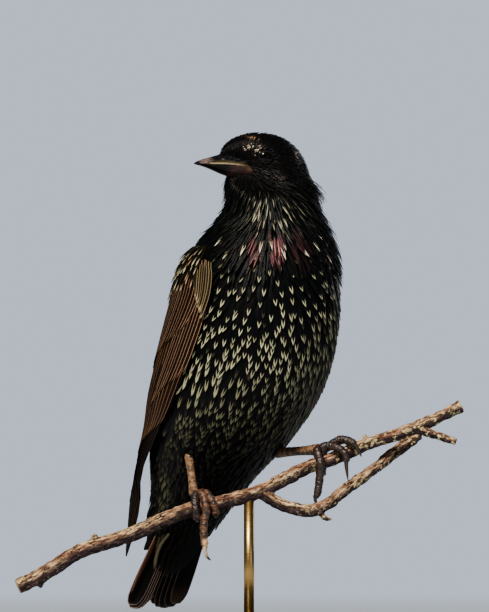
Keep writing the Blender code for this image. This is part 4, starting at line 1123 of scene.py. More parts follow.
def tail_group(name, root, tip, across, below, half, shape, finish, look, facing=1):
    """Tail feathers or coverts, with a root, tip and place across for each in millimetres, and
    how far each lies below at its root and tip. facing is -1 for those that face up."""
    count = len(across)
    columns = [np.broadcast_to(v, count)[:, None] * MM for v in (root, tip, across, *below)]
    root, tip, across, below_root, below_tip = columns
    along = root + (tip - root) * TAIL_STATIONS
    spread = across * (1 - TAIL_FAN + TAIL_FAN * TAIL_STATIONS)
    depth = below_root * (1 - TAIL_STATIONS) + below_tip * TAIL_STATIONS
    line = tail_place(along, spread, depth)
    normal = np.broadcast_to(TAIL_UNDER * facing, line.shape)
    widths = half * MM * shape(TAIL_STATIONS)[None] * np.ones_like(root)
    patch_height = 1 - (root + tip)[:, 0] / (2 * TAIL_UNWRAP)
    patch_long = (tip - root)[:, 0] / TAIL_UNWRAP
    uv = in_rows(count, (np.arange(count) + 0.5) / count, patch_height, 0.8 / count, patch_long)
    return vanes(
        name, line, normal, widths, finish, look, uv, VANE_COLUMNS,
        camber=0.06, thick=0.18 * MM, shaft=0.14 * MM,
    )


def tail_look(count, spot, wear, pale=(0.7, 1.0), hue=0.0):
    pale, warm = draw.uniform(*pale, count), draw.uniform(0.0, 0.3, count)
    chance, edge = draw.random(count) * 0.5, wear * draw.uniform(0.75, 1.0, count)
    return in_rows(count, spot, pale, warm, chance, hue, edge)


def covert_wear(across, row):
    """Undertail coverts have a broad pale edge on the bird's right side and hardly any elsewhere."""
    factors = np.ones((len(across), 6))
    factors[:, 5] = 0.04 + (1.0, 0.3, 0.6, 0.3)[row] * (across == across.max())
    return factors


# Each row of coverts: how far its tips reach, how far it lies below the tail at root and tip, and
# how wide it spreads to either side, in millimetres. The rows on top lie above the tail.
UNDERTAIL_ROWS = (
    (42, 7.5, 3.2, 7.5),
    (35, 9.0, 4.2, 10.0),
    (29, 10.5, 5.4, 10.5),
    (23, 11.5, 6.8, 11.0),
)
UPPERTAIL_ROWS = ((31, -5.0, -3.2, 10.0), (24, -5.6, -4.2, 10.0), (17, -6.2, -5.2, 10.0))


def covert_row(row, tip, wide):
    """A row of coverts, six or five by turns: their places across, their tips and their order."""
    across = np.linspace(-wide, wide, 6 - row % 2)
    tips = tip - 0.05 * across**2 + draw.uniform(-1, 1, len(across))
    return across, tips, np.arange(len(across))


def make_tail():
    k = np.tile(np.arange(6), 2)
    side = np.repeat((1, -1), 6)
    level = -1.9 + 0.78 * k - 0.15 * (side < 0)
    look = tail_look(12, 0.0, 0.9, hue=np.where((k == 5) & (side < 0), 1.0, 0.08))
    look[:, 5] *= np.where(side < 0, 0.25, 1.0)
    tips = TAIL_LENGTH - 0.5 * (2.5 - k) ** 2
    across = side * (1.5 + TAIL_STEP * k)
    feathers = tail_group(
        "tail_feathers", 4.0, tips, across, (level * 0.6, level), 4.2, tail_shape, TAIL_VANE, look
    )
    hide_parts("tail")
    # The outer web of the outermost right feather turns up its worn red-brown edge.
    tail_group(
        "tail_outer_edge", 6.0, TAIL_LENGTH - 9.0, [1.5 + TAIL_STEP * 5 + 3.2], (1.5, 2.25), 1.0,
        flight_shape, TAIL_EDGE, tail_look(1, 0.0, 1.0),
    )
    for row, (tip, below_root, below_tip, wide) in enumerate(UNDERTAIL_ROWS):
        across, tips, order = covert_row(row, tip, wide)
        curl = 0.035 * across**2
        below = (below_root - curl * 1.4, below_tip - curl * 0.6 + 0.1 * order)
        look = tail_look(len(order), 2.4, 1.0, (0.05, 0.2)) * covert_wear(across, row)
        tail_group(
            f"undertail_coverts_{row}", tip - 24.0, tips, across, below, 4.2 if row == 0 else 3.3,
            body_feather_shape, TAIL_COVERT, look,
        )
    for row, (tip, below_root, below_tip, wide) in enumerate(UPPERTAIL_ROWS):
        across, tips, order = covert_row(row, tip, wide)
        below = (below_root + 0.03 * across**2, below_tip + 0.02 * across**2 - 0.1 * order)
        look = tail_look(len(order), 1.6, 0.9)
        tail_group(
            f"uppertail_coverts_{row}", tip - 20.0, tips, across, below, 3.4,
            blunt_shape, TAIL_COVERT, look, -1,
        )


make_tail()

# Bill
# A straight pointed horn sheath in two halves, dark grey brown with a painted pink grey highlight
# near the tip, with a thin cream cutting edge, slit nostrils in shallow grooves and a soft brown gape.
# Distance from the skull's middle, height of the mouth line, rise to the ridge above it, drop
# to the keel below it, half width.
BILL_SECTIONS = (
    (8.0, 186.2, 0.9, 0.9, 6.8),
    (10.0, 187.0, 1.9, 2.6, 7.9),
    (12.5, 188.3, 3.0, 4.0, 7.5),
    (16.5, 189.3, 3.9, 4.5, 5.0),
    (20.0, 189.5, 3.3, 3.8, 3.6),
    (25.0, 189.5, 2.3, 2.2, 2.5),
    (29.5, 189.5, 1.3, 1.0, 1.5),
    (33.0, 189.4, 0.3, 0.3, 0.5),
)
# Where the sheaths start and end and where the nostrils lie, measured in the same way.
BILL_BACK, BILL_TIP = 8.0, 33.0
NOSTRIL_REACH, NOSTRIL_HEIGHT = 21.8, 191.2
BILL_STATIONS = 110
ARCH_POINTS = 40

SMOOTH = {"interpolation_type": "SMOOTHSTEP"}
HORN, horn_tree, horn_shader = new_material("dark_keratin_bill", 0.34)
horn_shader.inputs["Specular IOR Level"].default_value = 0.16
horn_read = add_node(horn_tree, "Attribute", {}, "Vector", attribute_name="bill")
horn_reach, off_mouth, horn_upper = add_node(horn_tree, "SeparateXYZ", {0: horn_read}).node.outputs
horn_place = add_node(horn_tree, "TexCoord", {}, "Object")
horn_streak = {"Vector": horn_place, "Scale": 1 / (0.9 * MM), "Detail": 5.0, "Roughness": 0.6}
horn_streak = add_node(horn_tree, "TexNoise", horn_streak)
# Black ridge half; lower half black before the chin and pinkish brown behind it.
keel_back = add_node(horn_tree, "MapRange", {0: horn_reach, 1: 20.0, 2: 16.0}, **SMOOTH)
keel_stain = add_node(horn_tree, "MapRange", {0: horn_streak, 1: 0.35, 2: 0.65})
ridge_black, keel_pink = (
    add_node(horn_tree, "Mix", {0: share, 6: dark, 7: light}, **RGBA)
    for share, dark, light in ((horn_streak, "#08080a", "#151315"), (keel_stain, "#160f0e", "#3a2723"))
)
horn_mix = "#050405"
for share, over in ((keel_back, keel_pink), (horn_upper, ridge_black)):
    horn_mix = add_node(horn_tree, "Mix", {0: share, 6: horn_mix, 7: over}, **RGBA)
# Over that lie a painted pink grey highlight near the tip, an olive brown band over the cutting
# edge, both on the upper half, soft reddish brown skin at the gape and the thin cream cutting edge.
# Each is a colour, a share to start from and ramps that it is multiplied by: what they follow,
# where they start and end in millimetres or as shades of the streaks, and their two ends.
gape_low = add_node(horn_tree, "Math", {0: horn_upper, 1: -0.75, 2: 1.0}, operation="MULTIPLY_ADD")
cutting = add_node(horn_tree, "MapRange", {0: off_mouth, 1: 0.36, 2: 0.10}, **SMOOTH)
horn_layers = (
    # Painted highlight: pink grey on the upper half near the tip, where light catches the ridge.
    ("#8a7470", horn_upper, (
        (horn_reach, 24.0, 27.0, 0.0, 0.75, "SMOOTHSTEP"),
        (horn_reach, 31.5, 29.5, 0.0, 1.0, "SMOOTHSTEP"),
        (horn_streak, 0.42, 0.6, 0.15, 1.0, "LINEAR"),
    )),
    ("#3a331f", horn_upper, (
        (off_mouth, 1.5, 0.8, 0.0, 1.0, "SMOOTHSTEP"),
        (horn_reach, 27.0, 23.0, 0.0, 0.75, "LINEAR"),
    )),
    ("#64463a", gape_low, ((horn_reach, 13.5, 10.5, 0.0, 0.8, "SMOOTHSTEP"),)),
    ("#cdbb92", cutting, (
        (horn_reach, 28.5, 24.0, 0.0, 1.0, "SMOOTHSTEP"),
        (horn_reach, 12.5, 16.0, 0.0, 1.0, "SMOOTHSTEP"),
        (horn_streak, 0.3, 0.55, 0.25, 0.8, "LINEAR"),
    )),
)
for colour, share, ramps in horn_layers:
    for source, start, end, first, last, bend in ramps:
        ramp = {0: source, 1: start, 2: end, 3: first, 4: last}
        ramp = add_node(horn_tree, "MapRange", ramp, interpolation_type=bend)
        share = add_node(horn_tree, "Math", {0: share, 1: ramp}, operation="MULTIPLY")
    horn_mix = add_node(horn_tree, "Mix", {0: share, 6: horn_mix, 7: colour}, **RGBA)
horn_tree.links.new(horn_mix, horn_shader.inputs["Base Color"])
horn_bump = add_node(horn_tree, "Bump", {"Height": horn_streak, "Strength": 0.3, "Distance": 0.08 * MM})
horn_tree.links.new(horn_bump, horn_shader.inputs["Normal"])


def make_bill(name, node, upper):
    """One half: an arch over the mouth line with a hollow inner side, drawn out to the tip."""
    share = np.linspace(0, 1, BILL_STATIONS)[:, None]
    reach = BILL_BACK + (BILL_TIP - BILL_BACK) * (1 - (1 - share) ** 1.15)
    _, mouth, rise, drop, half_width = smooth_table(BILL_SECTIONS, reach[:, 0]).T[..., None]
    start = 0.12 * np.clip((24.0 - reach) / 8.0, 0, 1) * (1 if upper else -1)
    angle = np.linspace(0, math.pi, ARCH_POINTS)
    inner = np.linspace(-1, 1, 10)[1:-1]
    x = np.concatenate((np.cos(angle), inner))
    arch = np.sin(angle) + 0.05 * fading((np.cos(angle), 0.22)) if upper else np.sin(angle) ** 1.15
    y = np.concatenate((arch, 0.10 * (1 - inner**2)))
    side = x * half_width
    overlap = 0.12 * np.exp(-((1 - abs(x)) / 0.08)) if upper else 0.0
    level = mouth + start + y * (rise if upper else -drop) - overlap * np.minimum(rise, 1)
    if upper:
        for sign in (1, -1):
            off = (reach - NOSTRIL_REACH - 0.25 * (level - NOSTRIL_HEIGHT)) / 1.5
            tall = (level - NOSTRIL_HEIGHT) / 0.62
            on_side = side * sign > 0
            dent = np.exp(-((off**2 + tall**2) ** 2)) * on_side
            lip = fading((off, 1), (level - NOSTRIL_HEIGHT - 0.75, 0.35)) * on_side
            side = side - sign * (0.85 * dent - 0.16 * lip)
    else:
        groove = fading((y - 0.45, 0.12)) * fading((reach - 17, 5))
        side = side - np.sign(side) * 0.12 * groove
    end = np.clip((BILL_TIP - reach) / 0.9, 0.12, 1) ** 0.5
    side = side * end
    level = mouth + (level - mouth) * end
    ahead, left, high = (v[..., None] * MM for v in (reach, side, level))
    half = loft(name, SKULL + AHEAD * ahead + HEAD_LEFT * left + UP * high, HORN)
    hidden = 0.5 * (np.arange(len(x)) >= ARCH_POINTS)
    write_attribute(half.data, "bill", reach, abs(level - mouth) + hidden, float(upper))
    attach(half, "root")
    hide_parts(node)


make_bill("horn_upper", "bill_upper", True)
make_bill("horn_lower", "bill_lower", False)

# Feathered bill base
# Tiny close black feathers that run forward over the sides of the upper half, in a slant from
# the gape up to the nostrils, and lie back towards the eye.
def face_numbers(mesh, name):
    """The middles or the normals of a mesh's faces, in rows."""
    numbers = np.zeros(len(mesh.polygons) * 3)
    mesh.polygons.foreach_get(name, numbers)
    return numbers.reshape(-1, 3)


def bill_base_feathers():
    mesh = bpy.data.objects["horn_upper"].data
    places, facings = face_numbers(mesh, "center"), face_numbers(mesh, "normal")
    reach = (places - SKULL) @ AHEAD / MM
    mouth = smooth_table(BILL_SECTIONS, reach)[:, 1]
    over_mouth = places[:, 2] / MM - mouth
    outward = places - SKULL - AHEAD * (reach * MM)[:, None] - UP * (mouth * MM)[:, None]
    facings = facings * np.sign(np.sum(facings * outward, axis=1, keepdims=True))
    feathered = reach < 16.5 + 4.3 * np.clip((over_mouth - 0.6) / 1.5, 0, 1)
    feathered &= (over_mouth > 0.6) & (facings[:, 2] > -0.3) & (reach > 9.0)
    picked = draw.permutation(np.flatnonzero(feathered))
    picked = picked[spaced(places[picked], np.full(len(picked), 0.42 * MM))]
    roots, normals, reach = places[picked], unit(facings[picked]), reach[picked]
    count = len(roots)
    way = -AHEAD + UP * draw.uniform(0.0, 0.35, count)[:, None] + draw.normal(0, 0.12, (count, 3))
    way = square_to(way, normals)
    length = np.interp(reach, (9, 19), (2.4, 1.5)) * MM * draw.uniform(0.85, 1.15, count)
    stations = np.array((0.0, 0.35, 0.65, 0.86, 1.0))
    out = (-0.15 + 0.45 * stations) * MM
    line = roots[:, None] + way[:, None] * (length[:, None] * stations)[..., None]
    line = line + normals[:, None] * out[:, None]
    widths = (0.34 * MM) * body_feather_shape(stations)[None] * draw.uniform(0.8, 1.2, (count, 1))
    flat = (roots - SKULL)[:, :2]
    pale = np.where(draw.random(count) < 0.05, 0.35, 0.02)
    look = in_rows(count, 0.7, pale, draw.random(count), draw.random(count), 0.0, 0.0)
    uv = patch_places(roots[:, 2] / MM, np.arctan2(flat[:, 1], flat[:, 0]))
    ups = np.broadcast_to(normals[:, None], line.shape)
    vanes(
        "bill_base_feathers", line, ups, widths, HACKLE, look, uv, NARROW_COLUMNS,
        camber=0.3, thick=0.08 * MM,
    )


bill_base_feathers()

# Eyes
# Wet dark brown, nearly black, with a pupil that hardly shows and one clear highlight. A thin
# bare rim of lid, grey olive below, closes round each and hugs the ball.
EYE, eye_tree, eye_shader = new_material("wet_dark_brown_eye", 0.06)
eye_shader.inputs["Specular IOR Level"].default_value = 0.22
eye_shader.inputs["IOR"].default_value = 1.38
iris_read = add_node(eye_tree, "Attribute", {}, "Vector", attribute_name="iris")
iris_off = add_node(eye_tree, "SeparateXYZ", {0: iris_read})
# The pupil, the iris round it and its dark edge, by the angle from the way the eye looks.
iris_colour = "#020202"
for start, end, over in ((0.34, 0.42, "#0a0604"), (0.58, 0.68, "#050403")):
    share = add_node(eye_tree, "MapRange", {0: iris_off, 1: start, 2: end}, **SMOOTH)
    iris_colour = add_node(eye_tree, "Mix", {0: share, 6: iris_colour, 7: over}, **RGBA)
eye_tree.links.new(iris_colour, eye_shader.inputs["Base Color"])

# Bare lid skin, black above and a dull olive grey along the lower rim.
LID, lid_tree, lid_shader = new_material("bare_grey_lid_skin", 0.7)
lid_shader.inputs["Specular IOR Level"].default_value = 0.15
lid_read = add_node(lid_tree, "Attribute", {}, "Vector", attribute_name="lid")
lid_low = add_node(lid_tree, "SeparateXYZ", {0: lid_read})
lid_colour = add_node(lid_tree, "Mix", {0: lid_low, 6: "#040404", 7: "#1a1912"}, **RGBA)
lid_tree.links.new(lid_colour, lid_shader.inputs["Base Color"])


EYE_SIDES = 72
LID_SIDES, LID_TUBE = 96, 14
# The lids' opening, as a radius in millimetres.
LID_OPENING = 2.20


def make_eye(side):
    middle, looks = EYES[side]
    up = square_to(UP, looks)
    ahead = unit(AHEAD - looks * (AHEAD @ looks) - up * (AHEAD @ up))
    polar = np.linspace(0, math.pi, 48)[1:-1, None]
    bulge = EYE_RADIUS + 0.10 * MM * fading((polar, 0.45))
    out = around(ahead, up, whole_turn(EYE_SIDES))
    out = looks * np.cos(polar)[..., None] + out * np.sin(polar)[..., None]
    ball = loft("eyeball_" + side, middle + out * bulge[..., None], EYE)
    write_attribute(ball.data, "iris", np.broadcast_to(polar, out.shape[:2]))
    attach(ball, "root")
    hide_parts("eye_" + side)
    turn = whole_turn(LID_SIDES)
    corner = 0.28 * np.clip(np.cos(turn), 0, 1) ** 10 + 0.16 * np.clip(-np.cos(turn), 0, 1) ** 10
    opening = LID_OPENING + 0.12 * abs(np.cos(turn)) - 0.16 * abs(np.sin(turn)) + corner
    slope = np.arcsin(opening * MM / EYE_RADIUS)[:, None]
    fat = (0.16 + 0.05 * np.clip(np.sin(turn), 0, 1) + 0.012 * np.sin(turn * 24)) * MM
    out = around(ahead, up, turn)
    radial = looks * np.cos(slope) + out * np.sin(slope)
    outward = out * np.cos(slope) - looks * np.sin(slope)
    centre = middle + radial * (EYE_RADIUS + 0.05 * MM) + outward * (fat * 1.7)[:, None]
    tube = around(radial, outward * 2.0, whole_turn(LID_TUBE), 0.8)
    rings = centre[:, None] + tube * fat[:, None, None]
    here = np.arange(LID_SIDES)[:, None] * LID_TUBE
    after = (here + LID_TUBE) % (LID_SIDES * LID_TUBE)
    j = np.arange(LID_TUBE)
    k = (j + 1) % LID_TUBE
    quads = np.stack((here + j, here + k, after + k, after + j), -1).reshape(-1, 4)
    lid = mesh_object("eyelid_" + side, rings.reshape(-1, 3), (quads,), LID)
    low = np.clip(-np.sin(turn), 0, 1)[:, None] ** 1.5
    write_attribute(lid.data, "lid", np.broadcast_to(low, rings.shape[:2]))
    face_outward(lid.data)
    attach(lid, "root")


for side in ("left", "right"):
    make_eye(side)

# Bare legs and feet
# Thin bone under dry horny plates: broad overlapping scutes down the front of the tarsus and
# along the top of each toe, soft pads below, orange brown on the leg and near black on the toes.
TARSUS_RADIUS = 1.62 * MM
TOE_OFF_BARK = TOE_RADIUS + 0.45 * MM
TARSUS_END = {"right": -2.4 * MM, "left": 0.0}
TARSUS_THICK = {"right": 1.05, "left": 1.28}
# Pitches of the scutes and of the pads, in millimetres.
TARSUS_PITCHES = (3.1, 3.0)
TOE_PITCHES = (1.05, 3.4)
KNUCKLE_PITCHES = (1.4, 2.1)
CLAW_SIDES = 16
# Painted shade: the feet are painted darker past these places across the picture.
PAINTED_SHADE_LEFT, PAINTED_SHADE_RIGHT = -18.7 * MM, 20 * MM

LEG, leg_tree, leg_shader = new_material("dry_horny_scutes", 0.46)
leg_read = add_node(leg_tree, "Attribute", {}, "Vector", attribute_name="scute")
on_foot, leg_dark_and_painted_shade, leg_pale_and_painted_highlight = add_node(leg_tree, "SeparateXYZ", {0: leg_read}).node.outputs
leg_place = add_node(leg_tree, "TexCoord", {}, "Object")
leg_stain = {"Vector": leg_place, "Scale": 1 / (1.6 * MM), "Detail": 4.0, "Roughness": 0.65}
leg_stain = add_node(leg_tree, "TexNoise", leg_stain)
leg_stain = add_node(leg_tree, "MapRange", {0: leg_stain, 1: 0.42, 2: 0.62})
leg_mix, toe_mix = (
    add_node(leg_tree, "Mix", {0: leg_stain, 6: dark, 7: light}, **RGBA)
    for dark, light in (("#483323", "#8c6a4a"), ("#0f0a08", "#643e28"))
)
# The pale channel holds the pale pads and the painted highlight on scute rims; the dark channel holds
# painted shade in grooves, creases and shaded places, and the darker toe ends.
for share, over in ((on_foot, toe_mix), (leg_pale_and_painted_highlight, "#c8a070"), (leg_dark_and_painted_shade, "#0e0807")):
    leg_mix = add_node(leg_tree, "Mix", {0: share, 6: leg_mix, 7: over}, **RGBA)
leg_tree.links.new(leg_mix, leg_shader.inputs["Base Color"])
leg_fine = add_node(leg_tree, "TexNoise", {"Vector": leg_place, "Scale": 1 / (0.35 * MM), "Detail": 3.0})
leg_bump = add_node(leg_tree, "Bump", {"Height": leg_fine, "Strength": 0.4, "Distance": 0.08 * MM})
leg_tree.links.new(leg_bump, leg_shader.inputs["Normal"])

# Claws: dark horn, the hanging one pale and translucent along its shaft.
CLAW, claw_tree, claw_shader = new_material("dark_translucent_claw", 0.28)
claw_read = add_node(claw_tree, "Attribute", {}, "Vector", attribute_name="claw")
claw_far, claw_pale, _ = add_node(claw_tree, "SeparateXYZ", {0: claw_read}).node.outputs
claw_place = add_node(claw_tree, "TexCoord", {}, "Object")
claw_grain = {"Vector": claw_place, "Scale": 1 / (1.5 * MM), "Detail": 2.0}
claw_grain = add_node(claw_tree, "TexNoise", claw_grain)
claw_mix = add_node(claw_tree, "Mix", {0: claw_grain, 6: "#0e0a09", 7: "#33241b"}, **RGBA)
claw_glow = add_node(claw_tree, "MapRange", {0: claw_far, 1: 0.78, 2: 0.55})
claw_glow = add_node(claw_tree, "Math", {0: claw_glow, 1: claw_pale}, operation="MULTIPLY")
claw_mix = add_node(claw_tree, "Mix", {0: claw_glow, 6: claw_mix, 7: "#cbb28c"}, **RGBA)
claw_tree.links.new(claw_mix, claw_shader.inputs["Base Color"])


def scaled_tube(name, path, radii, tops, pitches, foot, sides=28, worn_pad=0.0):
    """A leg or toe: scutes on its top side, full at their lower edges, and pads below. foot is 0
    on the leg and 1 on a toe; worn_pad is 1 where the last pad is worn pale on its front."""
    way = unit(np.gradient(path, axis=0))
    top = square_to(tops, way)
    far = distance_along(path)[:, None] / MM
    before_end = far[-1] - far
    turn = whole_turn(sides)
    upper = np.clip(np.sin(turn) + 0.35, 0, 1)
    lower = np.clip(-np.sin(turn), 0, 1)
    row_seed = radii[0] / MM * 3.7
    uneven = np.array([[noise.noise(Vector((step / 1.7, row_seed, 0.0)))] for step in far[:, 0]])
    plate = np.mod((far + 0.55 * uneven * foot) / pitches[0], 1.0)
    swell = abs(np.sin(math.pi * far / pitches[1]))
    size = 1 + (0.12 - 0.05 * foot) * (plate - 0.5) * upper
    size = size + foot * (0.16 * (swell - 0.4) * lower + 0.08 * (swell - 0.6))
    out = around(np.cross(way, top), top, turn, 0.94)
    rings = path[:, None] + out * (radii[:, None] * size)[..., None]
    for row in rings:
        for point in row:
            lump = noise.noise(Vector(point / MM) / 0.9) + 0.6 * noise.noise(Vector(point / MM) / 0.4)
            point += unit(point - row.mean(axis=0)) * lump * (0.05 + 0.22 * foot) * MM
    made = loft(name, rings, LEG)
    # Painted shade: the grooves between scutes and the creases between pads are painted darker.
    groove = np.clip(1 - plate * 6, 0, 1) * upper
    painted_crease_shade = np.clip(1 - swell * 2.0, 0, 1) * lower * foot
    # Painted shade: toes past those places are painted near black.
    in_painted_shade = (path[:, 0:1] > PAINTED_SHADE_RIGHT) | (path[:, 0:1] < PAINTED_SHADE_LEFT)
    # Painted shade: a leg past those places is painted darker on its underside.
    underside_for_shade = np.clip(-1.6 * out[..., 2], 0, 1)
    dark = np.maximum(0.7 * np.maximum(groove, painted_crease_shade), 0.82 * foot * in_painted_shade)
    dark = np.maximum(dark, 0.95 * (1 - foot) * in_painted_shade * underside_for_shade)
    dark = np.maximum(dark, foot * fading((before_end, 0.9)))
    # Painted highlight: the lower edge of each scute on top of a toe is painted paler.
    painted_rim_highlight = np.clip(plate * 5 - 4, 0, 1) * upper * foot * 0.22
    front = np.clip(out @ np.array((0.6, -0.8, 0.0)), 0, 1) ** 1.5
    worn = 1.6 * worn_pad * np.exp(-(((before_end - 3.0) / 1.4) ** 4)) * front
    pale = np.maximum(np.maximum(lower * foot * 0.12, painted_rim_highlight), worn)
    # Pale marks are dimmed inside the painted shade.
    pale = np.where(in_painted_shade, 0.3 * pale, pale)
    dark = dark * (1 - np.clip(worn * 1.5, 0, 1))
    write_attribute(made.data, "scute", foot, dark, pale)
    return made


def toe_round(side, places):
    """Points round the branch. Each place is a slide along it in millimetres, a turn in degrees
    from its top towards the front, and a rise over the bark."""
    points = []
    for slide, turn, rise in places:
        middle, _, up, front = branch_under(FEET[side] + slide * MM)
        a = math.radians(turn)
        out = BRANCH_RADIUS + TOE_OFF_BARK + rise * MM
        points.append(middle + (up * math.cos(a) + front * math.sin(a)) * out)
    return points


def make_toe(name, points, thick, claw_from, pale):
    """A toe and its claw along one path. claw_from is the share of the path where the claw
    starts; pale is 1 for a claw worn translucent."""
    path = spline(points, 24)
    far = distance_along(path)
    even = np.linspace(0, 1, 150)
    path = np.stack([np.interp(even, far / far[-1], path[:, c]) for c in range(3)], -1)
    middles, _, _, fronts = map(np.array, zip(*(branch_under(point[0]) for point in path)))
    tops = unit(path - middles) + fronts * 0.5
    fleshy = even <= claw_from + 0.05
    share = even[fleshy] / claw_from
    close = np.clip((1.0 - share) / 0.12 + 0.62, 0.3, 1) ** 0.5
    radii = thick * (1.04 - 0.16 * share) * close
    toe = scaled_tube(name, path[fleshy], radii, tops[fleshy], TOE_PITCHES, 1.0, worn_pad=pale)
    horny = even >= claw_from - 0.04
    rest = (even[horny] - even[horny][0]) / (1 - even[horny][0])
    claw_radii = (0.92 * (1 - rest) ** 0.6 + 0.10) * MM * min(thick / TOE_RADIUS, 1.3)
    way = unit(np.gradient(path[horny], axis=0))
    top = square_to(tops[horny], way)
    out = around(np.cross(way, top), top, whole_turn(CLAW_SIDES), 0.72)
    claw = loft(name + "_claw", path[horny][:, None] + out * claw_radii[:, None, None], CLAW)
    write_attribute(claw.data, "claw", np.broadcast_to(rest[:, None], out.shape[:2]), pale)
    return toe, claw


def make_knuckle(side, ball):
    """The ball of the foot, where the toes meet over the branch."""
    _, along, up, front = branch_under(FEET[side])
    share = np.linspace(-1, 1, 26)
    path = ball - up * 0.9 * MM + along * (share * 3.1 * MM)[:, None] + front * 0.3 * MM
    radii = 2.35 * MM * np.sqrt(np.clip(1 - share**2, 0.04, 1))
    tops = np.broadcast_to(up * 0.7 + front * 0.7, path.shape)
    return scaled_tube("knuckle_" + side, path, radii, tops, KNUCKLE_PITCHES, 1.0, 30)


def make_leg(side, four_toes):
    root, _, _, ball = leg_line(side)
    along = unit(ball - root)
    foot = ball + branch_under(FEET[side])[1] * TARSUS_END[side]
    share = np.linspace(0, 1, 130)
    path = (root - along * 2.0 * MM) * (1 - share)[:, None] + foot * share[:, None]
    swell = 1.14 - 0.24 * np.sin(math.pi * np.clip(share * 1.06 - 0.03, 0, 1)) + 0.12 * share**8
    front = unit(AHEAD * 0.2 + FORWARD * 0.9 + UP * 0.1)
    ends = np.clip(np.minimum(share, 1 - share) / 0.03, 0.35, 1) ** 0.5
    radii = TARSUS_RADIUS * (swell * TARSUS_THICK[side]) * ends
    tops = np.broadcast_to(front, path.shape)
    leg = scaled_tube("leg_" + side, path, radii, tops, TARSUS_PITCHES, 0.0)
    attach(leg, "root")
    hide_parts("tarsus_" + side)
    toes, claws = [make_knuckle(side, ball)], []
    for number, (places, steps, thick, claw_from, pale) in enumerate(four_toes):
        points = toe_round(side, places)
        for step in steps:
            points.append(points[-1] + np.array(step) * MM)
        toe, claw = make_toe(f"toe_{side}_{number}", points, TOE_RADIUS * thick, claw_from, pale)
        toes.append(toe)
        claws.append(claw)
    for name, parts in (("toes_" + side, toes), ("claws_" + side, claws)):
        with bpy.context.temp_override(active_object=parts[0], selected_editable_objects=parts):
            bpy.ops.object.join()
        parts[0].name = name
        parts[0].data.shade_smooth()
        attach(parts[0], "root")
    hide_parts("foot_" + side)


# Each place is a slide along the branch, a turn round it and a rise; the steps then go on
# from the last place. After them come the toe's thickness, where its claw starts, its paleness.
wrapped = [(30, 0.3), (75, 0.0), (120, 0.0), (160, -0.1), (200, -0.3)]
slides = (-0.7, -1.9, -2.9, -3.4, -3.4, -3.2)
inner = [(slides[0], 6, 0.5)] + [(s, *turn) for s, turn in zip(slides[1:], wrapped)]
outer = [(-1.25 * s, turn, rise) for s, turn, rise in inner]
hind = [(-0.1, -8, 0.5)] + [(-0.9, -turn, rise) for turn, rise in wrapped]
hanging = (
    (-0.9, 0.2, -4.0), (-0.1, 0.2, -4.8), (0.4, 0.3, -4.4),
    (0.1, 0.3, -2.0), (0.9, 0.4, -2.4), (1.4, 0.3, -1.3),
)
middle = [(0.1, 10, 0.5), (0.6, 35, 0.7), (0.9, 80, 0.5), (0.6, 112, 0.9)]
hind = (hind, (), 1.4, 0.7, 0.0)
inner, outer = (inner, (), 1.3, 0.74, 0.0), (outer, (), 1.3, 0.74, 0.0)
make_leg("right", (inner, outer, (middle, hanging, 1.3, 0.79, 1.0), hind))
inner = [(-0.4, 8, 0.5), (-1.2, 34, 1.2), (-1.6, 84, 0.7)]
down_steps = ((-0.2, 1.0, -5.0), (-0.8, 0.4, -6.4), (-1.0, 0.3, -3.0), (0.8, -0.2, -2.6))
middle = [(0.3, 14, 0.3), (2.6, 14, 1.0), (5.6, 40, 0.8), (7.8, 88, 0.3)]
hooked = ((0.5, 0.3, -5.0), (0.6, 0.4, -5.2))
outer = [(0.9, -6, 0.3), (4.6, 0, 0.5), (8.8, 14, 1.2), (11.8, 55, 0.7), (12.6, 95, 0.2)]
outer.append((12.9, 132, 0.4))
inner, middle = (inner, down_steps, 1.42, 0.84, 0.0), (middle, hooked, 1.42, 0.66, 0.0)
make_leg("left", (inner, middle, (outer, (), 1.42, 0.72, 0.0), hind))

# Thigh feathers
# Short soft black feathers that close round the top of each bare leg.
THIGH_FLUFF = 150


def thigh_coat(side):
    root, _, _, ball = leg_line(side)
    along = unit(ball - root)
    outer = thigh_rings(side, 0.0, 12, 40)
    seed = np.random.default_rng(31)
    row = seed.integers(4, 16, THIGH_FLUFF)
    column = seed.integers(0, 40, THIGH_FLUFF)
    start = outer[row, column]
    out = unit(start - outer[row].mean(axis=1))
    length = seed.uniform(2.4, 3.6, THIGH_FLUFF) * MM
    stations = np.array((0.0, 0.25, 0.5, 0.75, 1.0))
    way = unit(along * 1.0 - out * 0.35 + seed.normal(0, 0.10, (THIGH_FLUFF, 3)))
    line = start[:, None] + way[:, None] * (length[:, None] * stations)[..., None]
    # No feather comes closer to the leg's middle line than its skin.
    from_leg = line - root - along * ((line - root) @ along)[..., None]
    gap = np.linalg.norm(from_leg, axis=-1, keepdims=True)
    line = line + unit(from_leg) * np.maximum(1.7 * MM + 0.3 * MM * stations[:, None] - gap, 0)
    line = line - out[:, None] * (0.8 * MM * (1 - stations))[:, None]
    ups = np.broadcast_to(out[:, None], line.shape)
    widths = (0.9 * MM) * hackle_shape(stations)[None] * seed.uniform(0.8, 1.2, (THIGH_FLUFF, 1))
    pale = seed.uniform(0.0, 0.12, THIGH_FLUFF)
    chance, hue = seed.random(THIGH_FLUFF), seed.random(THIGH_FLUFF) * 0.5
    look = in_rows(THIGH_FLUFF, 1.0, pale, 0.7, chance, hue, 0.0)
    round_it, down = column / 40 * 0.9 + 0.05, row / len(outer) * 0.9 + 0.05
    uv = in_rows(THIGH_FLUFF, round_it, down, 0.01, 0.01)
    vanes("thigh_feathers_" + side, line, ups, widths, PLUMAGE, look, uv, NARROW_COLUMNS, camber=0.3)


for side in ("left", "right"):
    thigh_coat(side)

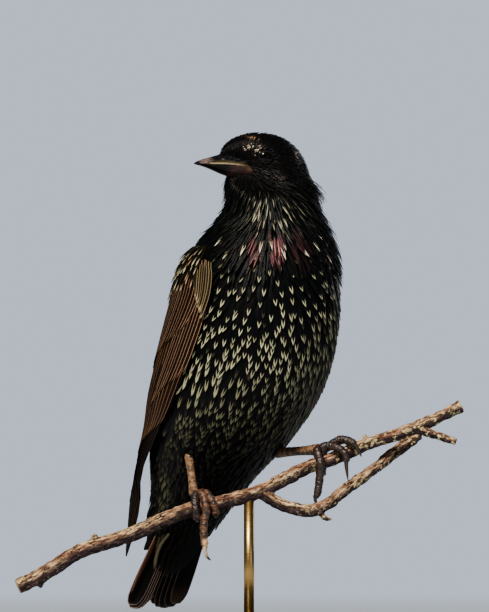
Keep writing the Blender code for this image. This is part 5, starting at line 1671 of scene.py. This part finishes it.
# Perch
# A short cut length of a twiggy branch: tan bark, cracked, with painted light on top and painted
# purple brown shade below, small knots, a snapped spur and a side twig that loops under and climbs
# again.
TWIG_ROUTE = (
    (6.8, -12.0, 61.6),
    (14.5, -12.8, 57.0),
    (25.0, -14.0, 54.8),
    (32.5, -13.6, 57.4),
    (39.2, -11.0, 62.8),
    (51.9, -2.8, 71.8),
    (58.7, 3.0, 77.2),
    (68.0, 8.8, 84.0),
)
TWIG_RADIUS = 2.6 * MM
BARK_VOXEL = 0.42 * MM

BARK, bark_tree, bark_shader = new_material("cracked_tan_bark", 0.85)
bark_shader.inputs["Specular IOR Level"].default_value = 0.25
bark_read = add_node(bark_tree, "Attribute", {}, "Vector", attribute_name="bark")
bark_crack, bark_up, bark_cut = add_node(bark_tree, "SeparateXYZ", {0: bark_read}).node.outputs
bark_place = add_node(bark_tree, "TexCoord", {}, "Object")
bark_grain = add_node(bark_tree, "Attribute", {}, "Vector", attribute_name="grain")
bark_long = add_node(bark_tree, "Mapping", {"Vector": bark_grain, "Scale": (0.22, 1.0, 1.0)})
# Torn fibres about a millimetre wide run along the wood, over blotches several times as large.
fibre = {"Vector": bark_long, "Scale": 1 / 1.0, "Detail": 7.0, "Roughness": 0.72}
fibre = add_node(bark_tree, "TexNoise", fibre)
blotch = {"Vector": bark_long, "Scale": 1 / 3.6, "Detail": 3.0, "Roughness": 0.6}
blotch = add_node(bark_tree, "TexNoise", blotch)
# Yellow-grey lichen grows towards the thin end.
lichen = {"Vector": bark_place, "Scale": 1 / (2.0 * MM), "Detail": 4.0, "Roughness": 0.7}
lichen = add_node(bark_tree, "TexNoise", lichen)
# The sawn ends show clean pale wood.
sawn = add_node(bark_tree, "TexNoise", {"Vector": bark_place, "Scale": 1 / (0.5 * MM), "Detail": 2.0})
blotch, torn, flake_and_glint, lit, lichen, split = (
    add_node(bark_tree, "MapRange", {0: source, 1: start, 2: end}, **SMOOTH)
    for source, start, end in (
        (blotch, 0.38, 0.62), (fibre, 0.44, 0.56), (fibre, 0.57, 0.66),
        (bark_up, -0.2, 0.5), (lichen, 0.54, 0.62), (bark_crack, 0.2, 0.8),
    )
)
bark_x = add_node(bark_tree, "SeparateXYZ", {0: bark_place})
bark_end = add_node(bark_tree, "MapRange", {0: bark_x, 1: 5 * MM, 2: 60 * MM, 3: 0.1, 4: 0.8})
lichen = add_node(bark_tree, "Math", {0: lichen, 1: bark_end}, operation="MULTIPLY")
bark_tan, bark_painted_shade, sawn = (
    add_node(bark_tree, "Mix", {0: share, 6: low, 7: high}, **RGBA)
    for share, low, high in (
        (blotch, "#8f5f45", "#cfae82"), (torn, "#120b0d", "#38262a"), (sawn, "#a98458", "#dbc096"),
    )
)
bark_mix = "#3d271c"
# Bark flakes, painted whiter than their own colour to stand for highlights on the lit top.
for share, over in ((torn, bark_tan), (flake_and_glint, "#f2e2bd")):
    bark_mix = add_node(bark_tree, "Mix", {0: share, 6: bark_mix, 7: over}, **RGBA)
# Painted shade: where the bark faces down it is painted dark purple brown; where it faces up it keeps
# its tan as if lit.
bark_mix = add_node(bark_tree, "Mix", {0: lit, 6: bark_painted_shade, 7: bark_mix}, **RGBA)
for share, over in ((lichen, "#cfc48e"), (split, "#170d0a"), (bark_cut, sawn)):
    bark_mix = add_node(bark_tree, "Mix", {0: share, 6: bark_mix, 7: over}, **RGBA)
bark_tree.links.new(bark_mix, bark_shader.inputs["Base Color"])
bark_bump = add_node(bark_tree, "Bump", {"Height": fibre, "Strength": 0.9, "Distance": 0.45 * MM})
bark_tree.links.new(bark_bump, bark_shader.inputs["Normal"])


def along_wood(points, lines):
    """Where points lie in the wood, in millimetres: along the nearest line, across it and up.
    Each line has its own start, so that the grain doesn't match where two pieces meet."""
    tree = KDTree(sum(len(line) for line, _ in lines))
    rows = []
    for line, start in lines:
        way, side, up = tube_frame(line)
        far = distance_along(line) / MM + start
        for i in range(len(line)):
            tree.insert(line[i], len(rows))
            rows.append(np.concatenate((line[i], way[i], side[i], up[i], [far[i]])))
    tree.balance()
    rows = np.array(rows)[[tree.find(point)[1] for point in points]]
    offset = points - rows[:, 0:3]
    along, across, above = (np.sum(offset * rows[:, i : i + 3], axis=1) / MM for i in (3, 6, 9))
    return np.stack((rows[:, 12] + along, across, above), -1)


# Knots: which point of the branch's line they grow from, which way, how far and how thick.
KNOTS = (
    (7, (-0.25, -0.1, 1.0), 4.6, 1.7),
    (3, (0.3, -0.2, -1.0), 4.8, 1.5),
    (27, (-0.2, 0.1, 1.0), 4.2, 1.2),
)
SPUR_ROUTE = ((66.0, -3.8, 86.6), (72.5, -4.5, 84.6), (82.5, -5.5, 81.4))
BUD_ROUTE = ((29.0, -14.0, 54.8), (31.2, -14.8, 51.9), (34.4, -15.2, 51.4))
TWIG_LEAVES = 6
ROUTE_STEPS = 12


def crack_bark(points, grain):
    """How far the bark swells or sinks at each point in millimetres, and how cracked it is."""
    moved, cracks = np.zeros(len(points)), np.zeros(len(points))
    stretched = grain * np.array((0.28, 1.0, 1.0))
    for i, (place, whole) in enumerate(zip(stretched.tolist(), (points / MM).tolist())):
        slow = noise.noise(Vector(whole) / 9.0)
        ridge = abs(noise.noise(Vector(place) / 1.5))
        fine = noise.noise(Vector(place) / 0.6 + Vector((7.0, 3.0, 1.0)))
        bump = noise.noise(Vector(whole) / 2.6 + Vector((1.0, 9.0, 4.0)))
        cracks[i] = max(0.0, 1.0 - ridge / 0.13)
        moved[i] = 0.34 * slow + 0.34 * bump + 0.14 * fine - 0.38 * cracks[i]
    return moved, cracks


def make_perch():
    path = spline(np.array(BRANCH_ROUTE) * MM, ROUTE_STEPS)
    twig = spline(np.array(TWIG_ROUTE) * MM, ROUTE_STEPS)
    twig[0] = path[TWIG_LEAVES * ROUTE_STEPS] - UP * 0.6 * MM
    spur = spline(np.array(SPUR_ROUTE) * MM, ROUTE_STEPS)
    bud = spline(np.array(BUD_ROUTE) * MM, 8)
    branch_radii = BRANCH_RADIUS * (1.04 - 0.22 * np.linspace(0, 1, len(path)))
    branch = loft("perch", tube_rings(path, branch_radii, 32), BARK)
    twig_radii = TWIG_RADIUS * (1.0 - 0.16 * np.linspace(0, 1, len(twig)))
    parts = [loft("twig", tube_rings(twig, twig_radii, 28), BARK)]
    for at, way, length, thick in KNOTS:
        line = np.linspace(0, length, 12)[:, None] * MM
        line = GRIP_PATH[at] + unit(np.array(way)) * line
        radii = np.interp(np.linspace(0, 1, 12), (0, 0.6, 0.9, 1), (1.4, 1.0, 0.7, 0.35)) * thick * MM
        parts.append(loft("knot", tube_rings(line, radii, 16), BARK))
    parts.append(loft("spur", tube_rings(spur, np.linspace(1.9, 1.35, len(spur)) * MM, 20), BARK))
    bud_radii = np.interp(np.linspace(0, 1, len(bud)), (0, 0.6, 1), (1.4, 1.0, 0.4)) * MM
    parts.append(loft("bud", tube_rings(bud, bud_radii, 16), BARK))
    combine(branch, parts, "UNION")
    grow = branch.modifiers.new("even", "REMESH")
    grow.mode = "VOXEL"
    grow.voxel_size = BARK_VOXEL
    smooth = branch.modifiers.new("soft", "SMOOTH")
    smooth.factor = 0.5
    smooth.iterations = 3
    bake_modifiers(branch)
    mesh = branch.data
    points, normals = np.zeros((2, len(mesh.vertices) * 3), np.float32)
    mesh.vertices.foreach_get("co", points)
    mesh.vertex_normals.foreach_get("vector", normals)
    points, normals = points.reshape(-1, 3).astype(float), normals.reshape(-1, 3).astype(float)
    cut = np.zeros(len(points), bool)
    for point, way in (
        (path[0], path[0] - path[1]), (path[-1], path[-1] - path[-2]), (twig[-1], twig[-1] - twig[-2]),
    ):
        way = unit(way)
        near = np.linalg.norm(points - point, axis=1) < 6 * MM
        cut |= near & (normals @ way > 0.75) & ((points - point) @ way > -0.6 * MM)
    grain = along_wood(points, [(path, 0.0), (twig, 40.0), (spur, 90.0)])
    moved, cracks = crack_bark(points, grain)
    points = points + normals * np.where(cut, 0.0, moved)[:, None] * MM
    mesh.vertices.foreach_set("co", points.astype(np.float32).ravel())
    write_attribute(mesh, "bark", cracks * ~cut, normals[:, 2], cut)
    write_attribute(mesh, "grain", *grain.T)
    mesh.shade_smooth()
    mesh.update()
    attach(branch, "root")
    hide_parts("perch_branch", "perch_twig")


make_perch()

# Stand
# A round base turned from ebonised hardwood with a soft top edge and one fine bead, and a
# brass rod that drops into it through a small ferrule and ends inside the branch.
BASE_RADIUS, BASE_HEIGHT = 54.0 * MM, 9.0 * MM
ROD_RADIUS, ROD_IN_BASE = 2.0 * MM, 3 * MM
FERRULE_RADIUS = 3.9 * MM
TURNED_SIDES = 128

WOOD, wood_tree, wood_shader = new_material("ebonised_turned_wood", 0.32)
wood_place = add_node(wood_tree, "TexCoord", {}, "Object")
wood_long = add_node(wood_tree, "Mapping", {"Vector": wood_place, "Scale": (0.06, 1.0, 1.0)})
wood_grain = {"Vector": wood_long, "Scale": 1 / (1.1 * MM), "Detail": 6.0, "Roughness": 0.65}
wood_grain = add_node(wood_tree, "TexNoise", wood_grain)
wood_mix = add_node(wood_tree, "MapRange", {0: wood_grain, 1: 0.35, 2: 0.7})
wood_mix = add_node(wood_tree, "Mix", {0: wood_mix, 6: "#141110", 7: "#2b2320"}, **RGBA)
wood_tree.links.new(wood_mix, wood_shader.inputs["Base Color"])
wood_bump = add_node(wood_tree, "Bump", {"Height": wood_grain, "Strength": 0.15, "Distance": 0.1 * MM})
wood_tree.links.new(wood_bump, wood_shader.inputs["Normal"])

# Brass brushed round the rod.
BRASS, brass_tree, brass_shader = new_material("brushed_brass_rod", 0.3, 1.0)
brass_place = add_node(brass_tree, "TexCoord", {}, "Object")
brass_long = add_node(brass_tree, "Mapping", {"Vector": brass_place, "Scale": (1.0, 1.0, 12.0)})
brass_line = {"Vector": brass_long, "Scale": 1 / (3.0 * MM), "Detail": 4.0}
brass_line = add_node(brass_tree, "TexNoise", brass_line)
brass_mix = add_node(brass_tree, "Mix", {0: brass_line, 6: "#9c7d42", 7: "#c9a867"}, **RGBA)
brass_tree.links.new(brass_mix, brass_shader.inputs["Base Color"])
brass_rough = add_node(brass_tree, "MapRange", {0: brass_line, 3: 0.24, 4: 0.42})
brass_tree.links.new(brass_rough, brass_shader.inputs["Roughness"])


def turned(name, profile, middle, finish, node, slot):
    """A solid of revolution from pairs of radius and height."""
    radii, heights = np.array(profile).T[..., None]
    angle = whole_turn(TURNED_SIDES)
    rings = (middle[0] + radii * np.cos(angle), middle[1] + radii * np.sin(angle), heights)
    made = loft(name, np.stack(np.broadcast_arrays(*rings), -1), finish)
    for face in made.data.polygons:
        face.use_smooth = len(face.vertices) == 4
    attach(made, "root")
    if node:
        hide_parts(node)


def rounded_edge(radius, height, bend):
    """Stations of a quarter round from the side up to a flat top."""
    turn = np.linspace(0, math.pi / 2, 8)
    return [(radius - bend + bend * math.cos(t), height - bend + bend * math.sin(t)) for t in turn]


base_profile = [
    (BASE_RADIUS - 1.2 * MM, 0.0),
    (BASE_RADIUS - 0.4 * MM, 0.25 * MM),
    (BASE_RADIUS, 0.9 * MM),
    (BASE_RADIUS, 5.0 * MM),
    (BASE_RADIUS - 0.7 * MM, 5.3 * MM),
    (BASE_RADIUS - 0.7 * MM, 5.7 * MM),
    (BASE_RADIUS - 0.1 * MM, 6.0 * MM),
]
base_profile += rounded_edge(BASE_RADIUS - 0.1 * MM, BASE_HEIGHT, 2.4 * MM)
turned("base", base_profile, (0.0, 0.0), WOOD, "stand_base", "stand_ebonised_wood")
near, at = np.array(BRANCH_ROUTE[5]) * MM, np.array(BRANCH_ROUTE[6]) * MM
rod_top = at * 0.68 + near * 0.32
rod_profile = [(ROD_RADIUS, BASE_HEIGHT - ROD_IN_BASE), (ROD_RADIUS, rod_top[2] - 0.6 * MM)]
turned("rod", rod_profile, rod_top, BRASS, "stand_rod", "stand_brass")
collar_radius = ROD_RADIUS + 0.3 * MM
ferrule = [(FERRULE_RADIUS, BASE_HEIGHT - 0.4 * MM), (FERRULE_RADIUS, BASE_HEIGHT + 0.9 * MM)]
ferrule += rounded_edge(FERRULE_RADIUS, BASE_HEIGHT + 1.6 * MM, 0.7 * MM)
ferrule += [(ROD_RADIUS + 0.5 * MM, BASE_HEIGHT + 1.7 * MM), (collar_radius, BASE_HEIGHT + 3.4 * MM)]
ferrule += rounded_edge(collar_radius, BASE_HEIGHT + 3.7 * MM, 0.25 * MM)
turned("rod_ferrule", ferrule, rod_top, BRASS, None, "stand_brass")

# Studio
# A pale seamless floor and backdrop, a broad key from the upper left front, a cooler fill from
# the right and a long strip behind that rims the dark back. None of it is part of the object.
FLOOR_RADIUS, FLOOR_DROP = 0.9, 0.2 * MM


def area_light(name, place, aim, size, power, colour):
    data = bpy.data.lights.new(name, "AREA")
    data.shape = "RECTANGLE"
    data.size, data.size_y = size
    data.energy = power
    data.color = linear(colour)[:3]
    light = bpy.data.objects.new(name, data)
    light.location = place
    light.rotation_euler = (Vector(aim) - Vector(place)).to_track_quat("-Z", "Y").to_euler()
    bpy.context.scene.collection.objects.link(light)


floor_finish, floor_tree, floor_shader = new_material("pale_matt_floor", 0.9)
floor_shader.inputs["Base Color"].default_value = linear("#c2c8cf")
floor_place = add_node(floor_tree, "TexCoord", {}, "Object")
floor_far = add_node(floor_tree, "VectorMath", {0: floor_place}, "Value", operation="LENGTH")
floor_fade = {0: floor_far, 1: 0.30, 2: FLOOR_RADIUS * 0.95, 3: 1.0, 4: 0.0}
floor_fade = add_node(floor_tree, "MapRange", floor_fade, **SMOOTH)
floor_tree.links.new(floor_fade, floor_shader.inputs["Alpha"])
bpy.ops.mesh.primitive_circle_add(
    vertices=96, radius=FLOOR_RADIUS, fill_type="NGON", location=(0, 0, -FLOOR_DROP)
)
floor = bpy.context.object
floor.name = "floor"
floor.data.materials.append(floor_finish)

world = bpy.data.worlds.new("pale_studio")
world.use_nodes = True
world_tree = world.node_tree
backdrop = world_tree.nodes["Background"]
backdrop.inputs["Color"].default_value = linear("#c3d0e0")
backdrop.inputs["Strength"].default_value = 1.15
room = add_node(world_tree, "Background", {"Color": "#b9c6dc", "Strength": 0.07})
seen = add_node(world_tree, "LightPath", {}, "Is Camera Ray")
lit = add_node(world_tree, "MixShader", {0: seen, 1: room, 2: backdrop.outputs[0]})
world_tree.links.new(lit, world_tree.nodes["World Output"].inputs["Surface"])
bpy.context.scene.world = world
bird_middle = (0.0, 0.0, 0.12)
area_light("key", (-0.40, -1.10, 1.20), bird_middle, (0.25, 0.25), 56.0, "#fff3e4")
area_light("fill", (1.0, -0.9, 0.35), bird_middle, (0.5, 0.5), 1.8, "#dfe8ff")
area_light("rim", (0.75, 0.9, 0.5), bird_middle, (0.6, 0.6), 2.0, "#f4f6ff")
